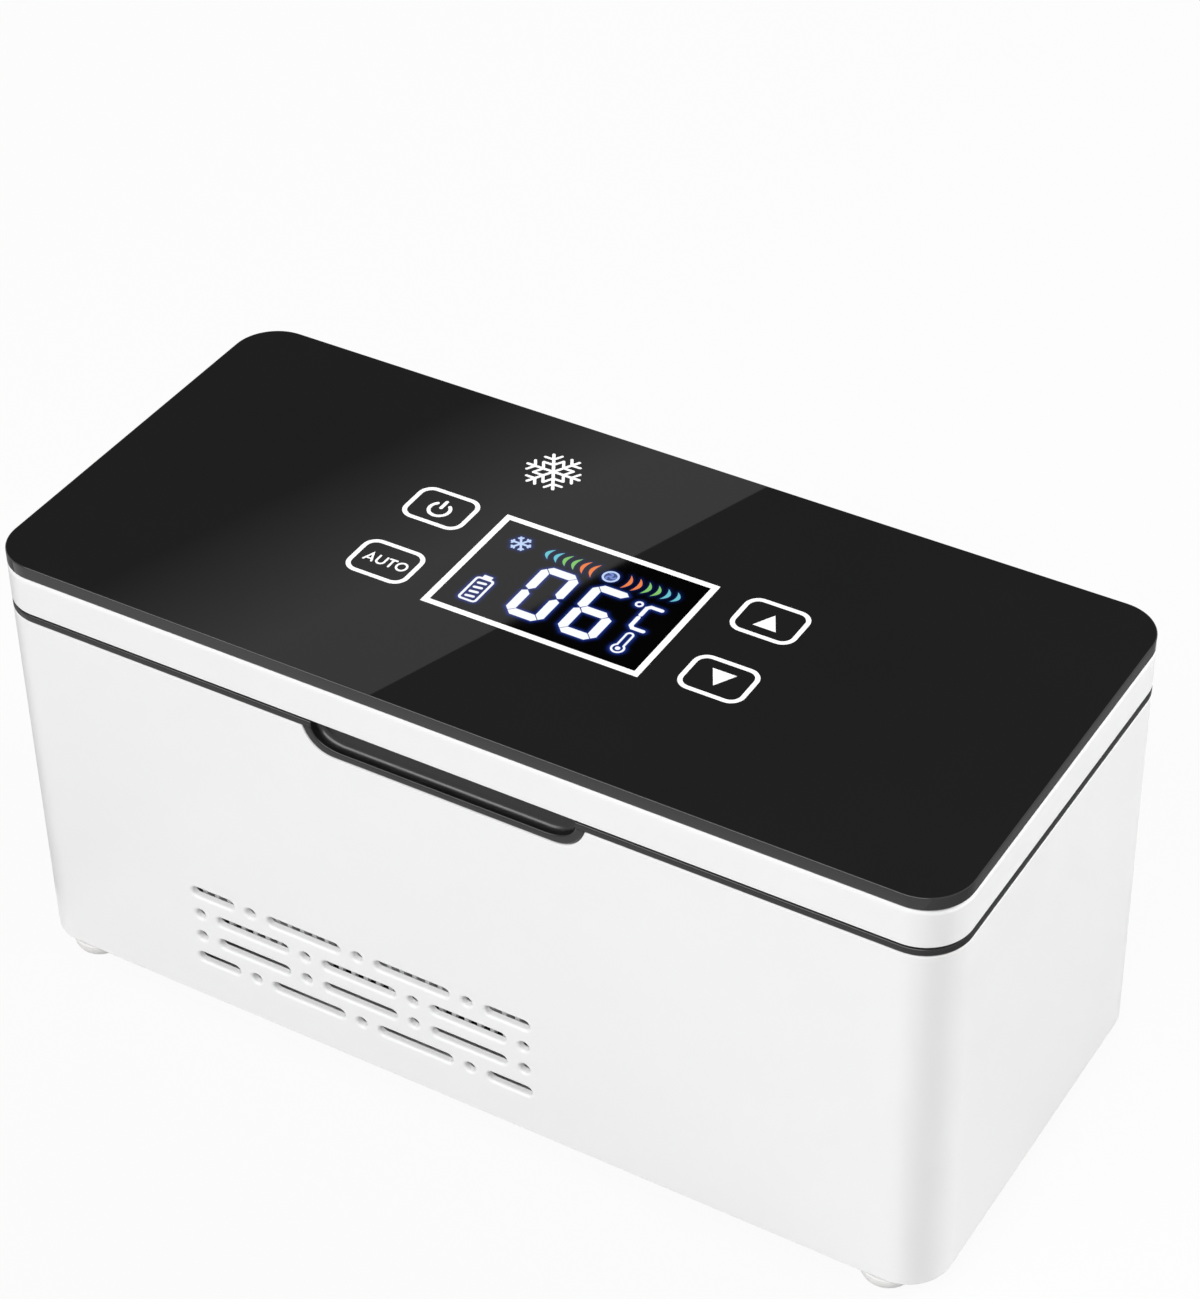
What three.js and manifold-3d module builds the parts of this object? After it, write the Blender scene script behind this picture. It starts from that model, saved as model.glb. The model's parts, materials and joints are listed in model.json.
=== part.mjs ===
// Insulin cooling case: a small box with a thermoelectric cooler under a metal tray,
// a hinged insulated lid and a touch panel of black glass on top of the lid.
// Millimetres, +Z up, front towards -Y. The origin is on the table, under the middle of the case.
import * as THREE from "three";
import { mergeVertices } from "three/addons/utils/BufferGeometryUtils.js";
import Module from "manifold-3d";

const wasm = await Module();
wasm.setup();

// Clearances
const fit = 0.3; // between pieces that slide or drop into each other
const seam = 0.1; // between faces that lie on each other
const past = 1; // how far a cutting body runs past the face that it opens

// The tray that holds the pens, which sets the size of the case
const trayLength = 163;
const trayWidth = 53;
const trayDepth = 25.2;
const trayWall = 0.8;
const trayDraft = 3;
const trayFillet = 4;
const trayCorner = 6;

// Frame round the tray
const ledgeEnd = 12.5;
const ledgeSide = 13.2;
const ledgeThickness = 2.2;
const funnelRun = 0.9;
const funnelRise = 1.9;
const wellDepth = 10.2;
const wellWall = 2;
const wellCorner = 7;
const rimEnd = 8;
const rimFront = 5.05;
const rimHeight = 1.6;
const rimBevel = 0.9;
const ribDepth = 3;
const ribWall = 1.6;

// Concealed hinge along the back
const lidOpenAngle = 100;
const openGap = 0.37; // lid's flange to the back face, with the lid open
const barrelRadius = 3.75; // axis to the back of the recess
const eyeRadius = 2.2;
const eyeBackGap = 0.6; // eye to the wall behind it
const rodRadius = 1;
const rodClearance = 0.2;
const rodReach = 4; // length of rod held in each end knuckle
const endKnuckle = 17;
const hingeCentre = 2;
const knuckleGap = 34; // middle knuckle of the frame
const hingeRebate = 1; // thinning of the back wall behind the barrel
const rebateDepth = 4; // how far the thinning reaches below the axis
const lugAbove = 1;
const lugBelow = 1.3;

// White shell
const shellWall = 2;
const cornerRadius = 9.3;
const edgeSoftening = 0.5;
const bossRadius = 4;
const bossCap = 2; // boss above the end of its screw
const bossSpacing = 50;
const bossBite = 0.4; // how far a boss runs into the end wall

// Finger scoop in the front of the rim
const tongueHalfTop = 30.2;
const tongueHalfBottom = 28;
const tongueHeight = 6.6;
const tongueCorner = 4.5;
const tongueThickness = 4;
const scoopMargin = 2.1;
const scoopSideMargin = 1.9;
const scoopDepth = 2.3;
const scoopSlope = 0.7;
const scoopSteps = 3;
const scoopEndRun = 1; // pull of the curve at the scoop's ends

// Base, feet and their screws
const baseThickness = 2.2;
const footHeight = 3.3;
const footRadius = 5.5;
const footFlat = 4;
const footSteps = 2;
const footInsetX = 11;
const footInsetY = 5.5;
const footStem = 2;
const intakeMargin = 2; // fan bore's edge to the ends of the intake slots
const screwHead = 2.6;
const screwHeadHeight = 1.5;
const screwShank = 1.2;
const screwLength = 9;
const crossWidth = 0.6;
const crossReach = 1.6;
const crossDepth = 0.7;

// Cooler: fan, heat sink, thermoelectric module and cold block
const coolerX = -22;
const fanSize = 60;
const fanDepth = 15;
const fanWall = 1.6; // bore to the outside at the thinnest place
const fanRing = 1.4;
const fanFlange = 3;
const fanCorner = 3;
const fanHoleInset = 5;
const fanHub = 12.6;
const fanHubWall = 1.5;
const fanHubRoof = 1.2;
const fanHubGap = 0.8; // hub's roof below the top of the fan
const fanPostHeight = 2;
const fanPostRadius = 3.4;
const fanPilotFloor = 0.8;
const strutWidth = 3;
const strutHeight = 2;
const bladeCount = 7;
const bladeThickness = 0.7;
const bladeTipGap = 1;
const bladeEndGap = 1.1; // blade's edges to the struts below and the top above
const bladeSweep = 40;
const bladeLean = 7;
const bladeCamber = 1.1;
const bladeAcross = 3;
const bladeAlong = 2;
const shaftRadius = 1.5;
const bearingWall = 2;
const bearingFloor = 0.6;
const finCountEachSide = 13;
const finPitch = 2.9;
const finThickness = 1;
const finHeight = 10.7;
const sinkBase = 5.2;
const sinkWallGap = 0.5;
const peltierSize = 40;
const peltierThickness = 3.8;
const peltierPlate = 0.85;
const peltierLegRows = 5;
const peltierLegMargin = 1;
const clampClearance = 6; // module's side to the axis of a clamp screw
const clampMargin = 5; // clamp screw's axis to the end of the cold block
const clampSkin = 1; // cold block above the end of a clamp screw
const coldBlockHeight = 6.6;
const coldBlockCorner = 1.5;
const probeRadius = 2.2;
const probeLength = 14;
const probeX = 40;

// Front and back grille
const grilleLength = 78;
const grilleRise = 10.8; // lowest row above the bottom edge
const slotHeight = 2.8;
const slotLength = 17;
const slotPeriod = 25;
const rowPitch = 5.8;
const rowCount = 4;
const dotOffset = 21; // dot centre from the start of its slot
const shortestSlot = 4.2;

// Battery, main board and charging socket
const cellRadius = 9.2;
const cellLength = 65;
const cellPitch = 19.6;
const cellCount = 3;
const cellEdge = 0.8;
const cellButton = 2.8;
const cellButtonHeight = 1.2;
const batteryGap = 2; // cradle to the bosses of the end wall
const cradleFloor = 1.2;
const cradleHeight = 7;
const cradleMargin = 2;
const cradleEnd = 2;
const postRadius = 2.6;
const postInset = 1.4;
const boardThickness = 1.6;
const boardClearance = 1.3;
const boardBackGap = 2;
const boardMargin = 3; // beyond the posts at the front
const boardScrewReach = 4;
const boardPilot = 6;
const coilRadius = 6;
const coilHeight = 6;
const capacitorRadius = 4;
const capacitorHeight = 8;
const capacitorPitch = 10;
const chipSide = 11;
const chipHeight = 2;
const plugHousingLength = 12;
const plugHousingWidth = 6;
const plugHousingHeight = 6;
const socketX = 50;
const socketWidth = 9;
const socketHeight = 9;
const socketLength = 13;
const socketSnout = 3.9;
const socketBore = 2.8;
const socketBoreDepth = 9.5;
const socketPin = 1;
const socketPinDrop = 1.5; // pin's tip inside the mouth

// Lid
const lidGap = 0.3;
const lidWall = 2.2;
const lidFlange = 2;
const linerWall = 1.8;
const plugFloor = 2.2;
const linerRim = 1.5;
const gasketWidth = 3.8;
const gasketStand = 2.5; // plug underside to ledge
const gasketGroove = 0.9;
const gasketMargin = 0.8; // from the funnel's edge
const plateauRise = 1.2;
const borderWidth = 5.5;
const panelThickness = 1;
const panelRecess = 0.8;
const lidScrewSpacing = 50;
const lidScrewHead = 1.5;
const lidScrewShank = 0.8;
const lidScrewHeadHeight = 1.2;
const lidScrewLength = 2.8;
const boardLift = 3.4;
const displayLength = 48;
const displayWidth = 32;
const displayThickness = 3.2;
const displayBezel = 1;
const displayDip = 0.3;
const boardCorner = 2;
const displayX = 1.4;
const displayY = -2.2;
const touchBoardMargin = 9.9; // key centre to the end of the board
const touchBoardWidth = 36;
const keyLeftX = -34.3;
const keyRightX = 37.9;
const keyUpperY = 8.8;
const keyLowerY = -10.8;
const keyPadRadius = 4;
const glassThickness = 2.9;
const glassEdge = 0.4;

// Facets
const cornerSegments = 8;
const innerSegments = 4;
const smallSegments = 2;
const roundSegments = 12;
const arcSegments = 6;
const filletSteps = 3;
const slotSegments = 3;
const holeSegments = 6;
const screwSegments = 8;
const boreSegments = 16;

// Hinge sizes that follow from the swing of the lid's flange about the axis
const openTurn = THREE.MathUtils.degToRad(lidOpenAngle);
// The inset is from the axis to the back face, the drop from the lid's underside to the axis
const hingeInset = shellWall - hingeRebate + eyeBackGap + eyeRadius;
const hingeDrop = (hingeInset * (1 - Math.cos(openTurn))) / Math.sin(openTurn) + openGap;
const hingeFar = 2 * (hingeInset + hingeDrop);

// Sizes that follow, in plan
const recessLength = trayLength + 2 * ledgeEnd;
const recessWidth = trayWidth + 2 * ledgeSide;
const caseLength = recessLength + 2 * rimEnd;
const caseWidth = rimFront + recessWidth + barrelRadius + hingeInset;
const innerLength = caseLength - 2 * shellWall;
const innerWidth = caseWidth - 2 * shellWall;
const innerCorner = cornerRadius - shellWall;
const front = -caseWidth / 2;
const back = caseWidth / 2;
const axisY = back - hingeInset;
const recessFront = front + rimFront;
const recessBack = axisY - barrelRadius;
const wellY = (recessFront + recessBack) / 2;
const plugLength = recessLength - 2 * fit;
const plugWidth = recessWidth - 2 * fit;
const plugCorner = wellCorner - fit;
const plugBack = wellY + plugWidth / 2;
const fanBore = fanSize / 2 - fanWall;
const fanHoleSpacing = fanSize - 2 * fanHoleInset;
const clampSpacing = peltierSize + 2 * clampClearance;
const coldBlockLength = clampSpacing + 2 * clampMargin;
const coldBlockWidth = peltierSize;
const bossHeight = screwLength + bossCap;
const bossX = innerLength / 2 + bossBite - bossRadius;
const bossY = bossSpacing / 2;
const cradleHalfX = ((cellCount - 1) * cellPitch) / 2 + cellRadius + fit + cradleMargin;
const cradleHalfY = cellLength / 2 + cellButtonHeight + fit + cradleEnd;
const batteryX = bossX - bossRadius - batteryGap - cradleHalfX;
const boardFront = -cradleHalfY - boardMargin + cradleEnd;
const boardBack = innerWidth / 2 - boardBackGap;
const linerLength = caseLength - 2 * (lidWall + fit);
const linerWidth = caseWidth - 2 * (lidWall + fit);
const linerCorner = cornerRadius - lidWall - fit;
const gasketInner = trayWall + fit + funnelRun + gasketMargin;
const gasketOuter = gasketInner + gasketWidth;
const rebateHalf = recessLength / 2 - wellCorner + past;

// Heights that follow, from the table up
const zBottom = footHeight;
const zBaseTop = zBottom + baseThickness;
const zFan = zBaseTop + fanPostHeight + seam;
const zFanTop = zFan + fanDepth;
const zFins = zFanTop + fit;
const zSinkUnder = zFins + finHeight;
const zSinkTop = zSinkUnder + sinkBase;
const zPeltier = zSinkTop + seam;
const zColdBlock = zPeltier + peltierThickness + seam;
const zTrayUnder = zColdBlock + coldBlockHeight + seam;
const zTrayFloor = zTrayUnder + trayWall;
const zTrayRim = zTrayFloor + trayDepth;
const zLedge = zTrayRim + funnelRise;
const zFrameUnder = zLedge - ledgeThickness;
const zRimTop = zLedge + wellDepth;
const zShellTop = zRimTop - rimHeight;
const zLidUnder = zRimTop + lidGap;
const zPlugUnder = zLedge + gasketStand;
const zAxis = zLidUnder - hingeDrop;
const zLinerRim = zLidUnder + lidFlange + seam;
const zTouchBoard = zLidUnder + boardLift;
const zDisplay = zTouchBoard + boardThickness + seam;
const zGlass = zDisplay + displayThickness + fit;
const zTop = zGlass + glassThickness;
const zCells = zBaseTop + seam + cradleFloor + fit + cellRadius;
const zBoard = zCells + cellRadius + boardClearance;
const zBoardTop = zBoard + boardThickness;
const zSocket = zBoardTop + seam + socketHeight / 2;
const zProbe = zTrayUnder - seam - probeRadius;

// Helpers that turn three.js geometry into solids and back
function solid(geometry) {
  const bare = new THREE.BufferGeometry();
  bare.setAttribute("position", geometry.getAttribute("position"));
  bare.setIndex(geometry.index);
  const merged = mergeVertices(bare, 1e-4);
  const triangles = [];
  for (let i = 0; i < merged.index.count; i += 3) {
    const [a, b, c] = [0, 1, 2].map((k) => merged.index.getX(i + k));
    if (a !== b && b !== c && c !== a) triangles.push(a, b, c);
  }
  const vertProperties = new Float32Array(merged.getAttribute("position").array);
  const make = (list) =>
    new wasm.Manifold(new wasm.Mesh({ numProp: 3, vertProperties, triVerts: new Uint32Array(list) }));
  const made = make(triangles);
  return made.volume() > 0 ? made : make(triangles.reverse());
}

function geometryOf(body) {
  const mesh = body.getMesh();
  const geometry = new THREE.BufferGeometry();
  geometry.setAttribute("position", new THREE.BufferAttribute(mesh.vertProperties, mesh.numProp));
  geometry.setIndex(new THREE.BufferAttribute(mesh.triVerts, 1));
  const faceted = geometry.toNonIndexed();
  faceted.computeVertexNormals();
  return faceted;
}

const join = (first, ...rest) => rest.reduce((a, b) => a.add(b), first);
const cut = (first, ...rest) => rest.reduce((a, b) => a.subtract(b), first);

// Rounded rectangle in plan, as a ring of points at one height
function ring(length, width, radius, z, y = 0, x = 0, segments = innerSegments) {
  const points = [];
  const corners = [
    [1, 1, 0],
    [-1, 1, 1],
    [-1, -1, 2],
    [1, -1, 3],
  ];
  for (const [sx, sy, quarter] of corners) {
    for (let i = 0; i <= segments; i++) {
      const angle = ((quarter + i / segments) * Math.PI) / 2;
      points.push([
        x + sx * (length / 2 - radius) + radius * Math.cos(angle),
        y + sy * (width / 2 - radius) + radius * Math.sin(angle),
        z,
      ]);
    }
  }
  return points;
}

// The case's outline in plan at one height, drawn in by an inset
function outline(z, inset = 0) {
  return ring(caseLength - 2 * inset, caseWidth - 2 * inset, cornerRadius - inset, z, 0, 0, cornerSegments);
}

// Closed body through rings of equal count, from the lowest to the highest
function loft(rings) {
  const count = rings[0].length;
  const index = [];
  for (let level = 0; level + 1 < rings.length; level++) {
    for (let i = 0; i < count; i++) {
      const a = level * count + i;
      const b = level * count + ((i + 1) % count);
      index.push(a, b, b + count, a, b + count, a + count);
    }
  }
  const last = (rings.length - 1) * count;
  for (let i = 1; i + 1 < count; i++) {
    index.push(0, i + 1, i);
    index.push(last, last + i, last + i + 1);
  }
  const geometry = new THREE.BufferGeometry();
  geometry.setAttribute("position", new THREE.Float32BufferAttribute(rings.flat(2), 3));
  geometry.setIndex(index);
  return solid(geometry);
}

// Straight rounded block between two heights
function slab(length, width, radius, z0, z1, y = 0, x = 0, segments = innerSegments) {
  return loft([z0, z1].map((z) => ring(length, width, radius, z, y, x, segments)));
}

function box(x0, x1, y0, y1, z0, z1) {
  const geometry = new THREE.BoxGeometry(x1 - x0, y1 - y0, z1 - z0);
  geometry.translate((x0 + x1) / 2, (y0 + y1) / 2, (z0 + z1) / 2);
  return solid(geometry);
}

// Round bars along Z, X and Y
function post(radius, z0, z1, x = 0, y = 0, segments = roundSegments) {
  const geometry = new THREE.CylinderGeometry(radius, radius, z1 - z0, segments);
  geometry.rotateX(Math.PI / 2);
  geometry.translate(x, y, (z0 + z1) / 2);
  return solid(geometry);
}

function rail(radius, x0, x1, y, z, segments = roundSegments) {
  const geometry = new THREE.CylinderGeometry(radius, radius, x1 - x0, segments);
  geometry.rotateZ(Math.PI / 2);
  geometry.translate((x0 + x1) / 2, y, z);
  return solid(geometry);
}

function spigot(radius, y0, y1, x, z, segments = roundSegments) {
  const geometry = new THREE.CylinderGeometry(radius, radius, y1 - y0, segments);
  geometry.translate(x, (y0 + y1) / 2, z);
  return solid(geometry);
}

// Outlines drawn in X and Z, pushed through from y0 to y1
function throughY(shapes, y0, y1, curveSegments = slotSegments) {
  const geometry = new THREE.ExtrudeGeometry(shapes, { depth: y1 - y0, bevelEnabled: false, curveSegments });
  geometry.rotateX(Math.PI / 2);
  geometry.translate(0, y1, 0);
  return solid(geometry);
}

// Outlines drawn in Y and Z, pushed along X
function throughX(shape, x0, x1, curveSegments = arcSegments) {
  const geometry = new THREE.ExtrudeGeometry(shape, { depth: x1 - x0, bevelEnabled: false, curveSegments });
  const turn = new THREE.Matrix4().makeBasis(
    new THREE.Vector3(0, 1, 0),
    new THREE.Vector3(0, 0, 1),
    new THREE.Vector3(1, 0, 0),
  );
  geometry.applyMatrix4(turn);
  geometry.translate(x0, 0, 0);
  return solid(geometry);
}

// Body of revolution about Z from [radius, height] pairs
function turned(profile, segments = roundSegments) {
  const points = profile.map(([r, z]) => new THREE.Vector2(r, z));
  const geometry = new THREE.LatheGeometry(points, segments);
  geometry.rotateX(Math.PI / 2);
  return solid(geometry);
}

// Rounded slot, or a dot where it is as long as it is high
function slotShape(x0, x1, z) {
  const r = slotHeight / 2;
  const shape = new THREE.Shape();
  shape.absarc(x1 - r, z, r, -Math.PI / 2, Math.PI / 2);
  shape.absarc(x0 + r, z, r, Math.PI / 2, 1.5 * Math.PI);
  return shape;
}

// Materials by finish
function finish(color, roughness, metalness = 0) {
  return () => new THREE.MeshStandardMaterial({ color, roughness, metalness });
}
const whitePlastic = finish(0xf1f1f0, 0.38);
const blackPlastic = finish(0x1b1b1c, 0.45);
const blackGlass = finish(0x08080a, 0.06);
const softRubber = finish(0xe4e4e2, 0.7);
const blackRubber = finish(0x151515, 0.75);
const greyPanel = finish(0xc9cbcc, 0.5);
const aluminium = finish(0xc4c7ca, 0.32, 1);
const steel = finish(0xb4b7bb, 0.28, 1);
const foam = finish(0xe9e6dc, 0.9);
const ceramic = finish(0xf2f0ea, 0.5);
const boardGreen = finish(0x17523a, 0.5);
const cellWrap = finish(0x2d6fae, 0.4);
const copper = finish(0xb87545, 0.35, 1);

const coolingCase = new THREE.Group();
const lid = new THREE.Group();
coolingCase.add(lid);

function piece(parent, name, body, material, position = [0, 0, 0], tilt = 0) {
  const mesh = new THREE.Mesh(geometryOf(body), material());
  mesh.name = name;
  mesh.position.set(...position);
  mesh.rotation.x = tilt;
  parent.add(mesh);
}

// Places shared by several pieces
const footX = caseLength / 2 - footInsetX;
const footY = caseWidth / 2 - footInsetY;
const quarters = [
  ["front_left", -1, -1],
  ["front_right", 1, -1],
  ["rear_left", -1, 1],
  ["rear_right", 1, 1],
];
const fanHoles = quarters.map(([where, sx, sy]) => [
  where,
  coolerX + (sx * fanHoleSpacing) / 2,
  (sy * fanHoleSpacing) / 2,
]);
const boardPosts = quarters.map(([where, sx, sy]) => [
  where,
  batteryX + sx * (cradleHalfX - postInset),
  sy * (cradleHalfY - cradleEnd / 2),
]);
const lidScrews = quarters.map(([where, sx, sy]) => [
  where,
  (sx * (linerLength + plugLength)) / 4,
  wellY + (sy * lidScrewSpacing) / 2,
]);
const knuckleEnd = rebateHalf - endKnuckle;
const knuckles = [
  [-knuckleEnd, hingeCentre - knuckleGap / 2],
  [hingeCentre + knuckleGap / 2, knuckleEnd],
];
const rodEnd = knuckleEnd + rodReach;
const keys = [
  ["key_pad_power", keyLeftX, keyUpperY],
  ["key_pad_auto", keyLeftX, keyLowerY],
  ["key_pad_up", keyRightX, keyUpperY],
  ["key_pad_down", keyRightX, keyLowerY],
];

// Outline of the scoop's tongue, drawn in X and Z and grown by a margin
function tongueShape(grow, top) {
  const halfTop = tongueHalfTop + grow;
  const halfBottom = tongueHalfBottom + grow;
  const bottom = zShellTop - tongueHeight + rimHeight - grow;
  const rise = zShellTop - bottom;
  const run = halfTop - halfBottom;
  const slant = Math.hypot(rise, run);
  const along = [(run / slant) * tongueCorner, (rise / slant) * tongueCorner];
  const shape = new THREE.Shape();
  shape.moveTo(-halfTop, top);
  shape.lineTo(-halfTop, zShellTop);
  shape.lineTo(-halfBottom - along[0], bottom + along[1]);
  shape.quadraticCurveTo(-halfBottom, bottom, -halfBottom + tongueCorner, bottom);
  shape.lineTo(halfBottom - tongueCorner, bottom);
  shape.quadraticCurveTo(halfBottom, bottom, halfBottom + along[0], bottom + along[1]);
  shape.lineTo(halfTop, zShellTop);
  shape.lineTo(halfTop, top);
  return shape;
}

// Material that would meet the lid's flange as it swings: the edge outside a circle about the axis
function backEdgeCut() {
  const reach = hingeDrop - fit;
  const shape = new THREE.Shape();
  shape.moveTo(axisY, zAxis + reach);
  shape.absarc(axisY, zAxis, reach, Math.PI / 2, 0, true);
  shape.lineTo(axisY + hingeFar, zAxis);
  shape.lineTo(axisY + hingeFar, zAxis + hingeFar);
  shape.lineTo(axisY, zAxis + hingeFar);
  return throughX(shape, -caseLength, caseLength);
}

// Room for the plug's back face, which rolls over the barrel and comes to rest leaning back
function plugSweep() {
  const rest = Math.PI - openTurn;
  const leave = [axisY + barrelRadius * Math.cos(rest), zAxis + barrelRadius * Math.sin(rest)];
  const slope = -1 / Math.tan(rest);
  const shape = new THREE.Shape();
  shape.absarc(axisY, zAxis, barrelRadius, Math.PI, rest, true);
  shape.lineTo(axisY + hingeFar, leave[1] + slope * (axisY + hingeFar - leave[0]));
  shape.lineTo(axisY + hingeFar, zAxis + hingeFar);
  shape.lineTo(recessBack - wellCorner, zAxis + hingeFar);
  shape.lineTo(recessBack - wellCorner, zAxis);
  return throughX(shape, -recessLength / 2, recessLength / 2);
}

// Grille through front and back: outer rows start half a period away from the inner ones
function grilleCut() {
  const left = coolerX - grilleLength / 2;
  const right = coolerX + grilleLength / 2;
  const shapes = [];
  for (let row = 0; row < rowCount; row++) {
    const outer = row === 0 || row === rowCount - 1;
    const z = zBottom + grilleRise + row * rowPitch;
    const middle = coolerX - (outer ? dotOffset : dotOffset - slotPeriod / 2);
    for (let k = -2; k <= 2; k++) {
      const start = middle + k * slotPeriod;
      const x0 = Math.max(start, left);
      const x1 = Math.min(start + slotLength, right);
      if (x1 - x0 > shortestSlot) shapes.push(slotShape(x0, x1, z));
      const dot = start + dotOffset;
      const inside = dot - slotHeight / 2 >= left && dot + slotHeight / 2 <= right;
      if (inside) shapes.push(slotShape(dot - slotHeight / 2, dot + slotHeight / 2, z));
    }
  }
  return throughY(shapes, front - past, back + past);
}

function bodyShell() {
  const zAbove = zShellTop + past;
  const outer = loft([
    outline(zBottom, edgeSoftening),
    outline(zBottom + edgeSoftening),
    outline(zShellTop),
  ]);
  const inside = loft([outline(zBottom - past, shellWall), outline(zAbove, shellWall)]);
  const rebate = box(-rebateHalf, rebateHalf, 0, innerWidth / 2 + hingeRebate, zAxis - rebateDepth, zAbove);
  const socketHole = spigot(socketSnout + fit, 0, back + past, socketX, zSocket);
  const scoop = throughY(tongueShape(fit, zAbove), front - past, front + tongueThickness);
  let shell = cut(outer, inside, grilleCut(), rebate, socketHole, scoop, backEdgeCut());
  for (const [, sx, sy] of quarters) {
    const x = sx * bossX;
    const y = sy * bossY;
    const z0 = zBaseTop + seam;
    const boss = post(bossRadius, z0, z0 + bossHeight, x, y, screwSegments);
    const pilot = post(screwShank + seam, z0 - past, z0 + screwLength, x, y, screwSegments);
    shell = shell.add(boss).subtract(pilot);
  }
  return shell;
}

function baseCover() {
  const zUnder = zBottom - past;
  let base = slab(innerLength - 2 * fit, innerWidth - 2 * fit, innerCorner - fit, zBottom, zBaseTop);
  for (const [, x, y] of fanHoles) {
    const standoff = post(fanPostRadius, zBaseTop - seam, zBaseTop + fanPostHeight, x, y, holeSegments);
    const pilot = post(screwShank + seam, zBottom + fanPilotFloor, zFan, x, y, holeSegments);
    base = base.add(standoff).subtract(pilot);
  }
  for (const [, sx, sy] of quarters) {
    const x = sx * bossX;
    const y = sy * bossY;
    const stemHole = post(footStem + fit, zUnder, zFan, sx * footX, sy * footY, holeSegments);
    const screwHole = post(screwShank + fit, zUnder, zFan, x, y, holeSegments);
    const headHole = post(screwHead + fit, zUnder, zBottom + screwHeadHeight, x, y, screwSegments);
    base = cut(base, stemHole, screwHole, headHole);
  }
  // Air intake under the fan: slots across the bore
  const slots = [];
  const count = Math.floor((fanBore - slotHeight) / rowPitch);
  for (let i = -count; i <= count; i++) {
    const y = i * rowPitch;
    const half = Math.sqrt((fanBore - intakeMargin) ** 2 - y ** 2) - intakeMargin;
    slots.push(slotShape(coolerX - half, coolerX + half, y));
  }
  const intake = new THREE.ExtrudeGeometry(slots, {
    depth: baseThickness + 2 * past,
    bevelEnabled: false,
    curveSegments: smallSegments,
  });
  intake.translate(0, 0, zUnder);
  return base.subtract(solid(intake));
}

// Soft foot with a rounded side and a stem that plugs into the base
function foot() {
  const height = footHeight - fit;
  const profile = [[0, 0]];
  for (let i = 0; i <= footSteps; i++) {
    const angle = ((i / footSteps) * Math.PI) / 2;
    profile.push([footFlat + (footRadius - footFlat) * Math.sin(angle), height * (1 - Math.cos(angle))]);
  }
  const zStem = footHeight + baseThickness - fit;
  profile.push([footStem, height], [footStem, zStem], [0, zStem]);
  return turned(profile);
}

// Screw with its head downwards and the seat of the head at z = 0
function screw(head, headHeight, shank, length, segments = holeSegments) {
  const profile = [
    [0, -headHeight],
    [head, -headHeight],
    [head, 0],
    [shank, 0],
    [shank, length],
    [0, length],
  ];
  return turned(profile, segments);
}

// Cross recess in the head of a screw that can be reached from outside
function crossRecess(headHeight) {
  const half = crossWidth / 2;
  const z0 = -headHeight - past;
  const z1 = -headHeight + crossDepth;
  const along = box(-crossReach, crossReach, -half, half, z0, z1);
  return along.add(box(-half, half, -crossReach, crossReach, z0, z1));
}

// Pocket for the fingertips, drawn in X and Z and shrunk by an inset
function scoopShape(inset) {
  const bottom = zRimTop - tongueHeight + scoopMargin + inset;
  const half = tongueHalfBottom - scoopSideMargin - inset;
  const halfTop = tongueHalfTop - scoopSideMargin - inset;
  const pull = half + scoopEndRun;
  const shape = new THREE.Shape();
  shape.moveTo(-halfTop, zRimTop + past);
  shape.lineTo(-halfTop, zShellTop);
  shape.quadraticCurveTo(-pull, bottom, -half + tongueCorner, bottom);
  shape.lineTo(half - tongueCorner, bottom);
  shape.quadraticCurveTo(pull, bottom, halfTop, zShellTop);
  shape.lineTo(halfTop, zRimTop + past);
  return shape;
}

// Steps of the pocket's rounded floor, the deepest the smallest
function scoopCuts() {
  const cuts = [];
  for (let i = 0; i < scoopSteps; i++) {
    const deep = scoopDepth - scoopSlope + (scoopSlope * (i + 1)) / scoopSteps;
    const inset = scoopSlope * (1 - Math.sqrt(1 - (i / scoopSteps) ** 2));
    cuts.push(throughY(scoopShape(inset), front - past, front + deep));
  }
  return cuts;
}

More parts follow.
